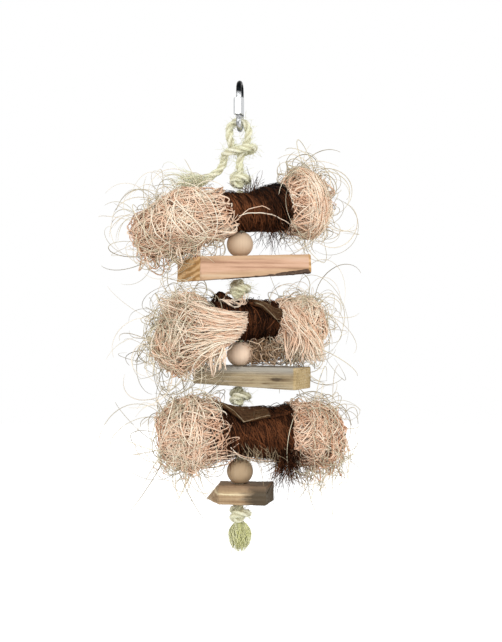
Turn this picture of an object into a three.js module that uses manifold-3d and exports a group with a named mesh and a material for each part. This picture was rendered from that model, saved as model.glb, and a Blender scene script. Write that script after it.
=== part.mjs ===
// A hanging chew toy for cage birds, in millimetres with +Z up. The origin is the hang point: the
// inside of the steel link's top bow, where the cage wire sits. +X is to the right of somebody who
// looks at the toy's front, and -Y is towards them.
//
// From the top: a screw link, a rope with an eye, a knot and a frayed tail, then three tiers. Each
// tier is a rolled fibre mat stuffed with wood wool, a wooden bead and a rough wooden slat, and it
// rests on a knot in the rope. Under the last knot the rope ends in a tassel.

import * as THREE from "three";
import { mergeVertices } from "three/addons/utils/BufferGeometryUtils.js";
import Module from "manifold-3d";

const wasm = await Module();
wasm.setup();
const { Manifold, Mesh: SolidMesh } = wasm;

// Gaps between pieces
const touchGap = 0.3; // between two pieces that rest on each other
const turnGap = 0.9; // between a turning piece and the uneven piece next to it

// Screw link: a bent steel rod whose open side is closed by a sleeve nut
const linkRod = 4;
const linkInsideLength = 31;
const linkInsideWidth = 8;
const linkTurn = 82; // degrees from facing the viewer to edge-on
const gateOpening = 3.6;
const gateOverlap = 2.2; // how far the lower thread enters the closed nut
const nutLength = 12.6;
const nutAcrossFlats = 7;
const nutAboveBow = 4.2; // closed nut to the start of the lower bow

// Rope
const ropeDiameter = 6;
const ropeSides = 8;
const knotSides = 6;
const ropeHoleGap = 1; // all round the rope, in a bead, slat or roll
const eyeHalfWidth = 7.35;
const eyeShift = -0.8;
const eyeRest = 1; // the eye's free height over the link's rod
const neckLength = 4.4;
const knotTightness = 0.66;
const tasselLength = 18;
const tasselWidth = 15;
const tasselFolds = 9;

// Fibre mat
const matThickness = 3;
const matTurnGap = 0.6; // between the turns of the rolled mat
const matTurns = 1.75;

// Wood wool
const woolRootGap = 0.5; // between the stuffing and the mat round it
const woolPastRope = 4.6; // the stuffing starts this far from the rope's middle
const strandWidth = 1.7;
const strandsPerTuft = 75;

// The tiers, from the top. Angles are in degrees. A roll's or slat's turn is positive where its
// right end is the further one from the viewer; a roll's lift raises its right end. A tuft's tip is
// measured from the middle of the roll's end that it comes out of, and its fill is the share of its
// swelling that is packed, which balances the tier on the rope. A slat's toe is how much further its
// lower back edge reaches at the left end.
const tiers = [
  {
    roll: { radius: 15.5, left: 17, right: 42, leftFlare: 1.05, rightFlare: 1.22, turn: 20, lift: 8 },
    flap: { at: 250, lift: 0.6 },
    beadDiameter: 20,
    slat: { left: 33, right: 51, front: 19, depth: 36, leftCut: 13, rightCut: 3, toe: 0, turn: 12 },
    slatHeights: { left: 17.8, right: 13.6, rise: 1.5 },
    leftTuft: { tip: [-61, 5, -17], swell: 23, flat: 0.95, fill: 0.9, strands: true },
    rightTuft: { tip: [25, 15, 5], swell: 26, flat: 0.9, fill: 0.81, strands: false },
  },
  {
    roll: { radius: 15.6, left: 20, right: 34, leftFlare: 1.1, rightFlare: 1.08, turn: 20, lift: -4 },
    flap: { at: 38, lift: 3.2 },
    beadDiameter: 20,
    slat: { left: 33, right: 46, front: 14, depth: 34, leftCut: -2, rightCut: 5, toe: 0, turn: -14 },
    slatHeights: { left: 13.2, right: 16.4, rise: -0.5 },
    leftTuft: { tip: [-35, -22, -33], swell: 25, flat: 0.66, fill: 0.97, strands: true },
    rightTuft: { tip: [29, 12, -9], swell: 23, flat: 0.85, fill: 0.72, strands: true },
  },
  {
    roll: { radius: 19.5, left: 22, right: 43, leftFlare: 1.03, rightFlare: 1.14, turn: 15, lift: -3 },
    flap: { at: 52, lift: 2.4 },
    beadDiameter: 20,
    slat: { left: 14, right: 22, front: 13, depth: 26, leftCut: 4, rightCut: 2, toe: 11, turn: -10 },
    slatHeights: { left: 14.2, right: 14.6, rise: 0.3 },
    leftTuft: { tip: [-38, -4, -4], swell: 26, flat: 0.85, fill: 1, strands: true },
    rightTuft: { tip: [35, 10, 4], swell: 25, flat: 0.85, fill: 0.81, strands: false },
  },
];

const degrees = Math.PI / 180;
const ropeRadius = ropeDiameter / 2;
const ropeHole = ropeRadius + ropeHoleGap;
const up = new THREE.Vector3(0, 0, 1);

const steel = new THREE.MeshStandardMaterial({ color: 0xc8cacc, metalness: 1, roughness: 0.3 });
const ropeYarn = new THREE.MeshStandardMaterial({ color: 0xd9cba8, roughness: 0.95 });
const coconutFibre = new THREE.MeshStandardMaterial({ color: 0x4a2f20, roughness: 1 });
const woodWool = new THREE.MeshStandardMaterial({ color: 0xd6b795, roughness: 0.9 });
const turnedWood = new THREE.MeshStandardMaterial({ color: 0xdcb994, roughness: 0.6 });
const freshWood = new THREE.MeshStandardMaterial({ color: 0xc39b78, roughness: 0.8 });
const weatheredWood = new THREE.MeshStandardMaterial({ color: 0x8d7b6c, roughness: 0.9 });
const brownWood = new THREE.MeshStandardMaterial({ color: 0x9a7454, roughness: 0.85 });
const treeBark = new THREE.MeshStandardMaterial({ color: 0x3b2a20, roughness: 1 });
const slatWoods = [freshWood, weatheredWood, brownWood];

const toy = new THREE.Group();
toy.name = "bird_chew_toy";

function place(name, geometry, material) {
  const mesh = new THREE.Mesh(geometry, material);
  mesh.name = name;
  toy.add(mesh);
}

function solidOf(geometry) {
  const bare = geometry.index ? geometry.toNonIndexed() : geometry.clone();
  bare.deleteAttribute("normal");
  bare.deleteAttribute("uv");
  const welded = mergeVertices(bare, 1e-5);
  return new Manifold(
    new SolidMesh({
      numProp: 3,
      vertProperties: new Float32Array(welded.attributes.position.array),
      triVerts: new Uint32Array(welded.index.array),
    }),
  );
}

function geometryOf(solid) {
  const mesh = solid.getMesh();
  const geometry = new THREE.BufferGeometry();
  geometry.setAttribute("position", new THREE.BufferAttribute(mesh.vertProperties, 3));
  geometry.setIndex(new THREE.BufferAttribute(mesh.triVerts, 1));
  return geometry;
}

function polygon(radius, sides, startAngle = 0) {
  const corners = [];
  for (let i = 0; i < sides; i++) {
    const angle = startAngle + (i / sides) * 2 * Math.PI;
    corners.push(new THREE.Vector2(radius * Math.cos(angle), radius * Math.sin(angle)));
  }
  return new THREE.Shape(corners);
}

// A rope or rod along a curve, with flat ends.
function tube(curve, radius, sides, steps) {
  return new THREE.ExtrudeGeometry(polygon(radius, sides), { steps, extrudePath: curve });
}

function upright(radius, top, bottom, sides) {
  const geometry = new THREE.CylinderGeometry(radius, radius, top - bottom, sides);
  geometry.rotateX(Math.PI / 2);
  geometry.translate(0, 0, (top + bottom) / 2);
  return geometry;
}

// A closed skin over rings that all have the same number of points, with a flat end at each side.
function skin(rings) {
  const count = rings[0].length;
  const points = rings.flat();
  const faces = [];
  for (let r = 0; r + 1 < rings.length; r++) {
    for (let i = 0; i < count; i++) {
      const a = r * count + i;
      const b = r * count + ((i + 1) % count);
      faces.push(a, b, b + count, a, b + count, a + count);
    }
  }
  const last = (rings.length - 1) * count;
  for (let i = 1; i + 1 < count; i++) {
    faces.push(0, i + 1, i, last, last + i, last + i + 1);
  }
  const geometry = new THREE.BufferGeometry().setFromPoints(points);
  geometry.setIndex(volumeOf(points, faces) < 0 ? faces.reverse() : faces);
  return geometry;
}

function volumeOf(points, faces) {
  let sum = 0;
  for (let i = 0; i < faces.length; i += 3) {
    const [a, b, c] = [points[faces[i]], points[faces[i + 1]], points[faces[i + 2]]];
    sum += a.dot(new THREE.Vector3().crossVectors(b, c));
  }
  return sum / 6;
}

// The least distance between two stretches of a rope that are more than `along` apart on it.
function leastSelfDistance(curve, along) {
  const points = curve.getSpacedPoints(300);
  const step = curve.getLength() / 300;
  const apart = Math.ceil(along / step);
  let least = Infinity;
  for (let i = 0; i < points.length; i++) {
    for (let j = i + apart; j < points.length; j++) {
      least = Math.min(least, points[i].distanceTo(points[j]));
    }
  }
  return least;
}

// SCREW LINK

class Bow extends THREE.Curve {
  constructor(middle, radius, from, to) {
    super();
    Object.assign(this, { middle, radius, from, to });
  }
  getPoint(t, target = new THREE.Vector3()) {
    const angle = this.from + (this.to - this.from) * t;
    return target.set(this.radius * Math.cos(angle), 0, this.middle + this.radius * Math.sin(angle));
  }
}

const bowInside = linkInsideWidth / 2;
const legAt = bowInside + linkRod / 2;
const topBowMiddle = -bowInside;
const lowerBowMiddle = bowInside - linkInsideLength;
const nutBottom = lowerBowMiddle + nutAboveBow;
const lowerThreadTip = nutBottom + gateOverlap;
const upperThreadTip = lowerThreadTip + gateOpening;

const rodPath = new THREE.CurvePath();
const leg = (x, from, to) =>
  rodPath.add(new THREE.LineCurve3(new THREE.Vector3(x, 0, from), new THREE.Vector3(x, 0, to)));
leg(-legAt, lowerThreadTip, lowerBowMiddle);
rodPath.add(new Bow(lowerBowMiddle, legAt, Math.PI, 2 * Math.PI));
leg(legAt, lowerBowMiddle, topBowMiddle);
rodPath.add(new Bow(topBowMiddle, legAt, 0, Math.PI));
leg(-legAt, topBowMiddle, upperThreadTip);
const linkBody = tube(rodPath, linkRod / 2, 8, 44);
linkBody.rotateZ(linkTurn * degrees);
place("link_body", linkBody, steel);

const nutFace = polygon(nutAcrossFlats / Math.sqrt(3), 6, Math.PI / 6);
nutFace.holes.push(new THREE.Path(polygon(linkRod / 2 + touchGap, 16).getPoints()));
const nut = new THREE.ExtrudeGeometry(nutFace, { depth: nutLength, bevelEnabled: false });
nut.translate(-legAt, 0, nutBottom);
nut.rotateZ(linkTurn * degrees);
place("link_nut", nut, steel);

// ROPE: the eye round the link's lower bow, and the knot that closes it

const eyeMiddle = -linkInsideLength + eyeRest + ropeRadius - eyeHalfWidth;

// Points are in rope diameters from the eye's middle, but for the eye itself.
function fromEye([across, away, above]) {
  return new THREE.Vector3(
    eyeShift + across * ropeDiameter,
    away * ropeDiameter,
    eyeMiddle + above * ropeDiameter,
  );
}

const eyePoints = [
  [0.14, 0, -4],
  [0.18, 0.02, -3.4],
  [0.42, 0.05, -2.6],
  [0.86, 0.05, -1.7],
  [1.15, 0, -0.8],
].map(fromEye);
for (let angle = 0; angle <= 180; angle += 30) {
  eyePoints.push(
    new THREE.Vector3(
      eyeShift + eyeHalfWidth * Math.cos(angle * degrees),
      0,
      eyeMiddle + eyeHalfWidth * Math.sin(angle * degrees),
    ),
  );
}
eyePoints.push(
  ...[
    [-1.18, 0, -0.8],
    [-0.98, 0.15, -1.7],
    [-0.55, 0.75, -2.35],
    [0.3, 1.22, -2.55],
    [1.35, 0.98, -2.38],
    [1.93, 0.05, -2.15],
    [1.35, -0.88, -2.16],
    [0.1, -1.1, -2.4],
    [-1.15, -0.9, -2.72],
    [-1.8, -0.1, -2.95],
    [-1.85, 0.32, -3.3],
    [-1.92, 0.4, -3.7],
  ].map(fromEye),
);
const eyeRope = new THREE.CatmullRomCurve3(eyePoints, false, "centripetal");
const eyeSelfGap = leastSelfDistance(eyeRope, 3 * ropeDiameter) - ropeDiameter;
console.log("least gap of the eye's rope to itself, mm:", eyeSelfGap.toFixed(2));
place("rope_eye", tube(eyeRope, ropeRadius, knotSides, 56), ropeYarn);

// The rope's free end lies over the top of the first tuft.
const tailRoute = [
  [-2.05, 0.42, -4.25],
  [-2.35, 0.42, -4.72],
  [-2.75, 0.38, -5.12],
  [-3.25, 0.3, -5.48],
  [-4, 0.12, -5.95],
  [-4.9, -0.08, -6.26],
  [-5.85, -0.3, -6.46],
  [-6.85, -0.5, -6.58],
  [-7.9, -0.68, -6.7],
].map(fromEye);
const tailRope = new THREE.CatmullRomCurve3(tailRoute, false, "centripetal");
const tailTurn = new THREE.SphereGeometry(ropeRadius, ropeSides, 6);
tailTurn.translate(...tailRoute[0].toArray());
const tail = Manifold.union([solidOf(tube(tailRope, ropeRadius, ropeSides, 9)), solidOf(tailTurn)]);
place("rope_tail", geometryOf(tail), ropeYarn);

// An overhand knot: one full turn round the rope's own two ends. In rope diameters before it is
// drawn tight, for the half from the upper end to the middle; the other half is the same turned
// upside down and front to back.
const halfKnot = [
  [0, 0, 1.95],
  [0, 0, 1.2],
  [0.1, -0.3, 0.6],
  [0.26, -0.42, 0],
  [0.08, -0.55, -0.85],
  [-0.7, -0.8, -1.1],
  [-1.3, -0.85, -0.5],
  [-0.85, -1.3, 0],
  [0.3, -1.45, 0.2],
  [1.2, -0.85, 0.12],
  [1.5, 0, 0],
];
const knotUnit = knotTightness * ropeDiameter;
const knotHalfHeight = 1.1 * knotUnit + ropeRadius;
const knotEnd = halfKnot[0][2] * knotUnit;

function knot(middle) {
  const first = halfKnot.map(([x, y, z]) => new THREE.Vector3(x, y, z));
  const second = first.slice(0, -1).reverse();
  const all = [...first, ...second.map((p) => new THREE.Vector3(p.x, -p.y, -p.z))];
  for (const point of all) {
    point.multiplyScalar(knotUnit);
    point.z += middle;
  }
  const rope = new THREE.CatmullRomCurve3(all, false, "centripetal");
  const points = rope.getSpacedPoints(24);
  const stretches = [];
  for (const [from, to] of [[0, 7], [6, 12], [11, 18], [17, 24]]) {
    const stretch = new THREE.CatmullRomCurve3(points.slice(from, to + 1), false, "centripetal");
    stretches.push(solidOf(tube(stretch, ropeRadius, knotSides, to - from)));
  }
  return geometryOf(Manifold.union(stretches));
}

// A straight length of rope. A domed upper end turns in place about the dome's middle.
function straightRope(top, bottom, domed) {
  const profile = [new THREE.Vector2(0, bottom), new THREE.Vector2(ropeRadius, bottom)];
  if (domed) {
    for (let angle = 0; angle < 90; angle += 30) {
      profile.push(
        new THREE.Vector2(
          ropeRadius * Math.cos(angle * degrees),
          top - ropeRadius + ropeRadius * Math.sin(angle * degrees),
        ),
      );
    }
  } else {
    profile.push(new THREE.Vector2(ropeRadius, top));
  }
  profile.push(new THREE.Vector2(0, top));
  const geometry = new THREE.LatheGeometry(profile, ropeSides);
  geometry.rotateX(Math.PI / 2);
  return geometry;
}

const eyeEnd = eyePoints[0].z;
const neckTop = eyeEnd - touchGap;
const neckBottom = neckTop - neckLength;
const stopperMiddle = neckBottom - touchGap - knotEnd;
place("rope_neck", straightRope(neckTop, neckBottom, true), ropeYarn);
place("rope_stopper_knot", knot(stopperMiddle), ropeYarn);

// TIERS

function rollFrame(roll, ropeHeight) {
  const turn = roll.turn * degrees;
  const lift = roll.lift * degrees;
  const along = new THREE.Vector3(
    Math.cos(lift) * Math.cos(turn),
    Math.cos(lift) * Math.sin(turn),
    Math.sin(lift),
  );
  const front = new THREE.Vector3().crossVectors(along, up).normalize();
  const above = new THREE.Vector3().crossVectors(front, along);
  const middle = new THREE.Vector3(0, 0, ropeHeight);
  const at = (s) => middle.clone().addScaledVector(along, s);
  return { along, front, above, at };
}

// How much wider the roll is at a distance along it from the rope.
function rollFlare(roll, s) {
  const share = s < 0 ? -s / roll.left : s / roll.right;
  const flare = s < 0 ? roll.leftFlare : roll.rightFlare;
  return 1 + (flare - 1) * share * share * (3 - 2 * share);
}

const matPitch = matThickness + matTurnGap;

function boreRadius(roll) {
  return roll.radius - matPitch * matTurns - matThickness;
}

// One mat, rolled up into a spiral from its hidden inner edge to its outer edge, the flap.
function fibreRoll(roll, flap, frame) {
  const steps = Math.round(matTurns * 12);
  const stations = [-1, 0, 0.4, 0.7, 1];
  const rings = stations.map((station) => {
    const s = station * (station < 0 ? roll.left : roll.right);
    const flare = rollFlare(roll, s);
    const outside = [];
    const inside = [];
    for (let i = 0; i <= steps; i++) {
      const share = i / steps;
      const angle = flap.at * degrees + share * matTurns * 2 * Math.PI;
      const lifted = flap.lift * Math.max(0, 1 - share * matTurns * 5) ** 2;
      const outer = (roll.radius - matPitch * share * matTurns) * flare + lifted;
      for (const [list, radius] of [[outside, outer], [inside, outer - matThickness * flare]]) {
        list.push(
          frame
            .at(s)
            .addScaledVector(frame.front, radius * Math.cos(angle))
            .addScaledVector(frame.above, radius * Math.sin(angle)),
        );
      }
    }
    return [...outside, ...inside.reverse()];
  });
  const count = rings[0].length;
  const faces = [];
  for (let r = 0; r + 1 < rings.length; r++) {
    for (let i = 0; i < count; i++) {
      const a = r * count + i;
      const b = r * count + ((i + 1) % count);
      faces.push(a, b + count, b, a, a + count, b + count);
    }
  }
  const last = (rings.length - 1) * count;
  for (let i = 0; i < steps; i++) {
    const j = count - 1 - i;
    faces.push(i, i + 1, j - 1, i, j - 1, j);
    faces.push(last + i, last + j - 1, last + i + 1, last + i, last + j, last + j - 1);
  }
  const geometry = new THREE.BufferGeometry().setFromPoints(rings.flat());
  geometry.setIndex(faces);
  const height = frame.at(0).z;
  const hole = upright(ropeHole, height + 2 * roll.radius, height - 2 * roll.radius, 16);
  return geometryOf(solidOf(geometry).subtract(solidOf(hole)));
}

// Wood wool that is stuffed into one end of a roll and bursts out of it. The tuft follows a curve
// from the roll's end to the tip and swells round it. Its strands leave the body at different
// places, each along its own line round the curve, so no two of them cross.
function tuft(roll, frame, shape, side) {
  const rootRadius = boreRadius(roll) - woolRootGap;
  const end = side < 0 ? -roll.left : roll.right;
  const outward = frame.along.clone().multiplyScalar(side);
  const mouth = frame.at(end);
  const tip = mouth.clone().add(new THREE.Vector3(...shape.tip));
  const reach = tip.distanceTo(mouth);
  const bend = mouth.clone().addScaledVector(outward, reach * 0.42);
  const spine = new THREE.QuadraticBezierCurve3(mouth, bend, tip);
  const widest = 0.4;
  const swellAt = (t) => {
    if (t < widest) {
      return rootRadius + (shape.swell - rootRadius) * Math.sin((t / widest) * 90 * degrees);
    }
    return shape.swell * Math.sqrt(1 - ((Math.min(1, t) - widest) / 0.66) ** 2);
  };
  const pointAt = (t, angle, widen) => {
    const along = spine.getTangent(Math.min(1, Math.max(0, t)));
    const across = new THREE.Vector3().crossVectors(along, up).normalize();
    const above = new THREE.Vector3().crossVectors(across, along);
    const radius = swellAt(t) * widen;
    return spine
      .getPoint(Math.min(1, t))
      .addScaledVector(along, Math.max(0, t - 1) * reach)
      .addScaledVector(across, radius * shape.flat * Math.cos(angle))
      .addScaledVector(above, radius * Math.sin(angle));
  };

  const around = shape.strands ? 10 : 26;
  const rings = [];
  for (const s of [side * woolPastRope, end]) {
    const ring = [];
    for (let i = 0; i < around; i++) {
      const angle = (i / around) * 2 * Math.PI;
      ring.push(
        frame
          .at(s)
          .addScaledVector(frame.front, side * rootRadius * Math.cos(angle))
          .addScaledVector(frame.above, rootRadius * Math.sin(angle)),
      );
    }
    rings.push(ring);
  }
  for (const t of shape.strands ? [0.1, 0.3, 0.6, 0.85, 1] : [0.07, 0.22, 0.42, 0.62, 0.8, 0.93, 1]) {
    const ring = [];
    for (let i = 0; i < around; i++) {
      const angle = (i / around) * 2 * Math.PI;
      const locks = 0.16 * Math.sin(7 * angle + 5 * t) + 0.06 * Math.sin(11 * angle - 8 * t);
      ring.push(pointAt(t, angle, shape.fill + (shape.strands ? 0 : locks)));
    }
    rings.push(ring);
  }
  const body = solidOf(skin(rings));
  if (!shape.strands) {
    return geometryOf(body);
  }

  const golden = Math.PI * (3 - Math.sqrt(5));
  const strands = [];
  for (let n = 0; n < strandsPerTuft; n++) {
    const share = (n + 0.5) / strandsPerTuft;
    const starts = 0.1 + 0.84 * share;
    const angle = n * golden;
    const strandRings = [];
    for (const step of [0, 0.5, 1]) {
      const t = starts + 0.3 * step;
      const widen = 0.52 + (1.24 - 0.2 * share) * step - 0.56 * step * step;
      const middle = pointAt(t, angle + 0.25 * t, widen);
      const ahead = pointAt(t + 0.02, angle + 0.25 * t, widen + 0.03).sub(middle).normalize();
      const one = new THREE.Vector3().crossVectors(ahead, up).normalize();
      const two = new THREE.Vector3().crossVectors(one, ahead);
      const radius = (strandWidth / 2) * (1 - 0.45 * step);
      strandRings.push(
        [0, 1, 2].map((corner) =>
          middle
            .clone()
            .addScaledVector(one, radius * Math.cos((corner * 2 * Math.PI) / 3))
            .addScaledVector(two, radius * Math.sin((corner * 2 * Math.PI) / 3)),
        ),
      );
    }
    strands.push(solidOf(skin(strandRings)));
  }
  return geometryOf(Manifold.union([body, ...strands]));
}

function bead(diameter, middle) {
  const radius = diameter / 2;
  const half = Math.sqrt(radius * radius - ropeHole * ropeHole);
  const from = Math.atan2(ropeHole, half);
  const profile = [];
  for (let i = 0; i <= 8; i++) {
    const angle = Math.PI - from - (i / 8) * (Math.PI - 2 * from);
    profile.push(new THREE.Vector2(radius * Math.sin(angle), radius * Math.cos(angle)));
  }
  profile.push(profile[0].clone());
  const geometry = new THREE.LatheGeometry(profile, 18);
  geometry.rotateX(Math.PI / 2);
  geometry.translate(0, 0, middle);
  return geometry;
}

function beadHalfHeight(diameter) {
  return Math.sqrt((diameter / 2) ** 2 - ropeHole ** 2);
}

// A slat sawn from a rough board: a box whose ends are cut askew and whose thickness changes.
function slatBlock(slat, heights, top) {
  const geometry = new THREE.BoxGeometry(1, 1, 1);
  const places = geometry.attributes.position;
  for (let i = 0; i < places.count; i++) {
    const right = places.getX(i) > 0;
    const back = places.getY(i) > 0;
    const cut = back ? (right ? slat.rightCut : -slat.leftCut) : 0;
    const toe = back && !right && places.getZ(i) < 0 ? slat.toe : 0;
    const x = (right ? slat.right : -slat.left) + cut - toe;
    const y = -slat.front + (back ? slat.depth : 0);
    const rise = (heights.rise * x) / slat.right;
    const thick = right ? heights.right : heights.left;
    places.setXYZ(i, x, y, top + rise - (places.getZ(i) > 0 ? 0 : thick));
  }
  return geometry;
}

function slatThicknessAtRope(slat, heights) {
  const share = slat.left / (slat.left + slat.right);
  return heights.left + (heights.right - heights.left) * share;
}

const barkStart = 18; // left of the rope
const barkHeight = 4.4;
const barkDepth = 5;

// The wedge of bark along a slat's lower front edge, which grows thicker towards the right end.
function barkWedge(slat, bottomAt, outwards) {
  const rings = [-barkStart, slat.right + slat.rightCut + 2].map((x, i) => {
    const grow = i ? 1 : 0.05;
    const y = -slat.front - outwards;
    const z = bottomAt(x) - outwards;
    return [
      new THREE.Vector3(x, y - 3, z - 3),
      new THREE.Vector3(x, y + barkDepth * grow, z - 3),
      new THREE.Vector3(x, y + barkDepth * grow, z),
      new THREE.Vector3(x, y, z + barkHeight * grow),
      new THREE.Vector3(x, y - 3, z + barkHeight * grow),
    ];
  });
  return solidOf(skin(rings));
}

let ropeTop = stopperMiddle - knotEnd - touchGap;
let restsAt = stopperMiddle - knotHalfHeight;
tiers.forEach((tier, index) => {
  const number = index + 1;
  const { roll, slat, slatHeights } = tier;

  const rollTop = restsAt - turnGap;
  const frame = rollFrame(roll, rollTop - roll.radius);
  place(`fibre_roll_${number}`, fibreRoll(roll, tier.flap, frame), coconutFibre);
  place(`left_tuft_${number}`, tuft(roll, frame, tier.leftTuft, -1), woodWool);
  place(`right_tuft_${number}`, tuft(roll, frame, tier.rightTuft, 1), woodWool);

  const beadHalf = beadHalfHeight(tier.beadDiameter);
  const slope = Math.tan(Math.abs(roll.lift) * degrees);
  const beadMiddle = rollTop - 2 * roll.radius - touchGap - ropeHole * slope - beadHalf;
  place(`bead_${number}`, bead(tier.beadDiameter, beadMiddle), turnedWood);

  const slatTop = beadMiddle - beadHalf - touchGap;
  const thickness = slatThicknessAtRope(slat, slatHeights);
  let block = solidOf(slatBlock(slat, slatHeights, slatTop));
  const hole = upright(ropeHole, slatTop + thickness, slatTop - 2 * thickness, 20);
  if (number === 1) {
    const taper = (slatHeights.left - slatHeights.right) / (slat.left + slat.right);
    const bottomAt = (x) =>
      slatTop + (slatHeights.rise * x) / slat.right - slatHeights.left + taper * (x + slat.left);
    const bark = block.intersect(barkWedge(slat, bottomAt, touchGap));
    block = block.subtract(barkWedge(slat, bottomAt, 0));
    const barkGeometry = geometryOf(bark);
    barkGeometry.rotateZ(slat.turn * degrees);
    place("slat_bark", barkGeometry, treeBark);
  }
  const slatGeometry = geometryOf(block.subtract(solidOf(hole)));
  slatGeometry.rotateZ(slat.turn * degrees);
  place(`slat_${number}`, slatGeometry, slatWoods[index]);

  const knotMiddle = slatTop - thickness - turnGap - knotHalfHeight;
  const coreBottom = knotMiddle + knotEnd + touchGap;
  place(`rope_core_${number}`, straightRope(ropeTop, coreBottom, false), ropeYarn);
  place(`rope_knot_${number}`, knot(knotMiddle), ropeYarn);
  restsAt = knotMiddle - knotHalfHeight;
  const knotBottom = knotMiddle - knotEnd;
  if (number < tiers.length) {
    const bend = new THREE.SphereGeometry(ropeRadius, ropeSides, 6);
    bend.rotateX(Math.PI / 2);
    bend.translate(0, 0, knotBottom - touchGap - ropeRadius);
    place(`rope_bend_${number}`, bend, ropeYarn);
    ropeTop = knotBottom - 2 * touchGap - ropeDiameter;
  } else {
    ropeTop = knotBottom - touchGap;
  }
});

// TASSEL: the rope's lower end, unlaid and spread

// It swings about the middle of its domed top.
const tasselTurn = ropeTop - ropeRadius;
const tasselRings = [];
for (const share of [-0.13, -0.08, 0, 0.15, 0.35, 0.6, 0.82, 1]) {
  const below = share * tasselLength;
  const ring = [];
  const dome = Math.sqrt(Math.max(0, ropeRadius ** 2 - below ** 2));
  const spread = ropeRadius + (tasselWidth / 2 - ropeRadius) * Math.sin(share * 1.9);
  for (let i = 0; i < 2 * tasselFolds; i++) {
    const angle = ((i + 2 * share) / (2 * tasselFolds)) * 2 * Math.PI;
    const fold = i % 2 ? 1 - 0.22 * share : 1;
    const radius = share < 0 ? dome : spread * fold;
    const uneven = i % 4 === 0 && share === 1 ? 0.12 * tasselLength : 0;
    ring.push(
      new THREE.Vector3(
        radius * Math.cos(angle),
        radius * Math.sin(angle),
        tasselTurn - below + uneven,
      ),
    );
  }
  tasselRings.push(ring);
}
place("rope_tassel", skin(tasselRings), ropeYarn);

export default toy;
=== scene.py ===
"""Looks of a hanging chew toy for cage birds: steel link, rope, fibre rolls, wood wool and wood.

The solid model is loaded as the frame, in metres with +Z up. The lengths in this file are in
millimetres in the same frame, until a mesh is made.
"""

import bpy
import numpy as np
from bpy.props import FloatProperty, FloatVectorProperty, IntProperty, PointerProperty
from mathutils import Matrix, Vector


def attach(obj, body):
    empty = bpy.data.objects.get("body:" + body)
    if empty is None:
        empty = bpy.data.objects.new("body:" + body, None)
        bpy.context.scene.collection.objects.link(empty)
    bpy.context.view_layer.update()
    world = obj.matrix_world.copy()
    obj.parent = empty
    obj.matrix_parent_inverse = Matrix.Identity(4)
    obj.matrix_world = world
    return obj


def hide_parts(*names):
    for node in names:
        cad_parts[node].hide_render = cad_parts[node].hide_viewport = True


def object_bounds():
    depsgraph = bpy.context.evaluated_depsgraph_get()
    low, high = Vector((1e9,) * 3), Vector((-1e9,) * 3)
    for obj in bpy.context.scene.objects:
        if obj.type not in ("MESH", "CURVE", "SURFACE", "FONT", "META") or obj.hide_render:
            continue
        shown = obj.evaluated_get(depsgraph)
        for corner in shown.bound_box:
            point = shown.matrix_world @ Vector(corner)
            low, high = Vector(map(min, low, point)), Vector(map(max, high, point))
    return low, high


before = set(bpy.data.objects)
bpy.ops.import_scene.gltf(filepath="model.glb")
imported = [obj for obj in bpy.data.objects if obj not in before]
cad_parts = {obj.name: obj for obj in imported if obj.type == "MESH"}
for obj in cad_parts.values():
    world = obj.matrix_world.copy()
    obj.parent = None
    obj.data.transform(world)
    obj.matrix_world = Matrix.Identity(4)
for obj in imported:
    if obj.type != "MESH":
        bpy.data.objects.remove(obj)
solids_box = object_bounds()

bl_info = {
    "name": "Hanging chew toy",
    "version": (1, 0, 0),
    "blender": (4, 5, 0),
    "location": "3D View > Sidebar > Chew toy",
    "description": "Dresses the solid model of a hanging chew toy in rope, fibre, wood wool and wood",
    "category": "Object",
}

MM = 0.001
TURN = 2 * np.pi

# The rope: its routes are in rope diameters from the middle of the eye, as in the solid model.
ROPE = 6.0
ROPE_SIDES = 30
ROPE_STATION = 0.7
EYE_MIDDLE = np.array([-0.8, 0.0, -34.35])
EYE_HALF_WIDTH = 7.35
EYE_FOOT = (0, 0, -63.2)
EYE_RIGHT_LEG = [
    (0.14, 0, -4), (0.18, 0.02, -3.4), (0.42, 0.05, -2.6), (0.86, 0.05, -1.7), (1.15, 0, -0.8),
]
EYE_WRAP = [
    (-1.18, 0, -0.8), (-0.98, 0.15, -1.7), (-0.55, 0.75, -2.35), (0.3, 1.22, -2.55),
    (1.35, 0.98, -2.38), (1.93, 0.05, -2.15), (1.35, -0.88, -2.16), (0.1, -1.1, -2.4),
    (-1.15, -0.9, -2.72), (-1.8, -0.1, -2.95), (-1.85, 0.32, -3.3), (-1.92, 0.4, -3.7),
]
TAIL = [
    (-2.05, 0.42, -4.25), (-2.35, 0.42, -4.72), (-2.75, 0.38, -5.12), (-3.25, 0.3, -5.48),
    (-4, 0.12, -5.95), (-4.9, -0.08, -6.26), (-5.85, -0.3, -6.46), (-6.85, -0.5, -6.58),
    (-7.9, -0.68, -6.7),
]
# Half of an overhand knot, in drawn rope diameters; the other half is turned upside down.
KNOT_UNIT = 3.96
HALF_KNOT = [
    (0, 0, 1.95), (0, 0, 1.2), (0.1, -0.3, 0.6), (0.26, -0.42, 0), (0.08, -0.55, -0.85),
    (-0.7, -0.8, -1.1), (-1.3, -0.85, -0.5), (-0.85, -1.3, 0), (0.3, -1.45, 0.2),
    (1.2, -0.85, 0.12), (1.5, 0, 0),
]
# Heights on the rope. The neck reaches 1 mm into the knot above it and 4 mm into the one below.
KNOT_END = 8.0
BEND_DROP, BEND_HALF, CORE_DROP = 11.02, 3, 14.5
STOPPER_MIDDLE = -71.07
NECK = (-58.65 + 1, -63.05 - 4)
TASSEL_TOP = -329.5
TASSEL_DROP = 23
TASSEL_ROOT, TASSEL_SWELL = 2.8, 6.2
TASSEL_WISPS = 26
# Three round strands: how far out their middles are, their radius and the bottom of the groove
# between them, as shares of the rope's radius. Then the yarns round a strand and their own lay.
STRAND_OUT, STRAND, GROOVE = 0.536, 0.464, 0.66
YARNS, YARN_LAY = 9, 1.5
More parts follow.
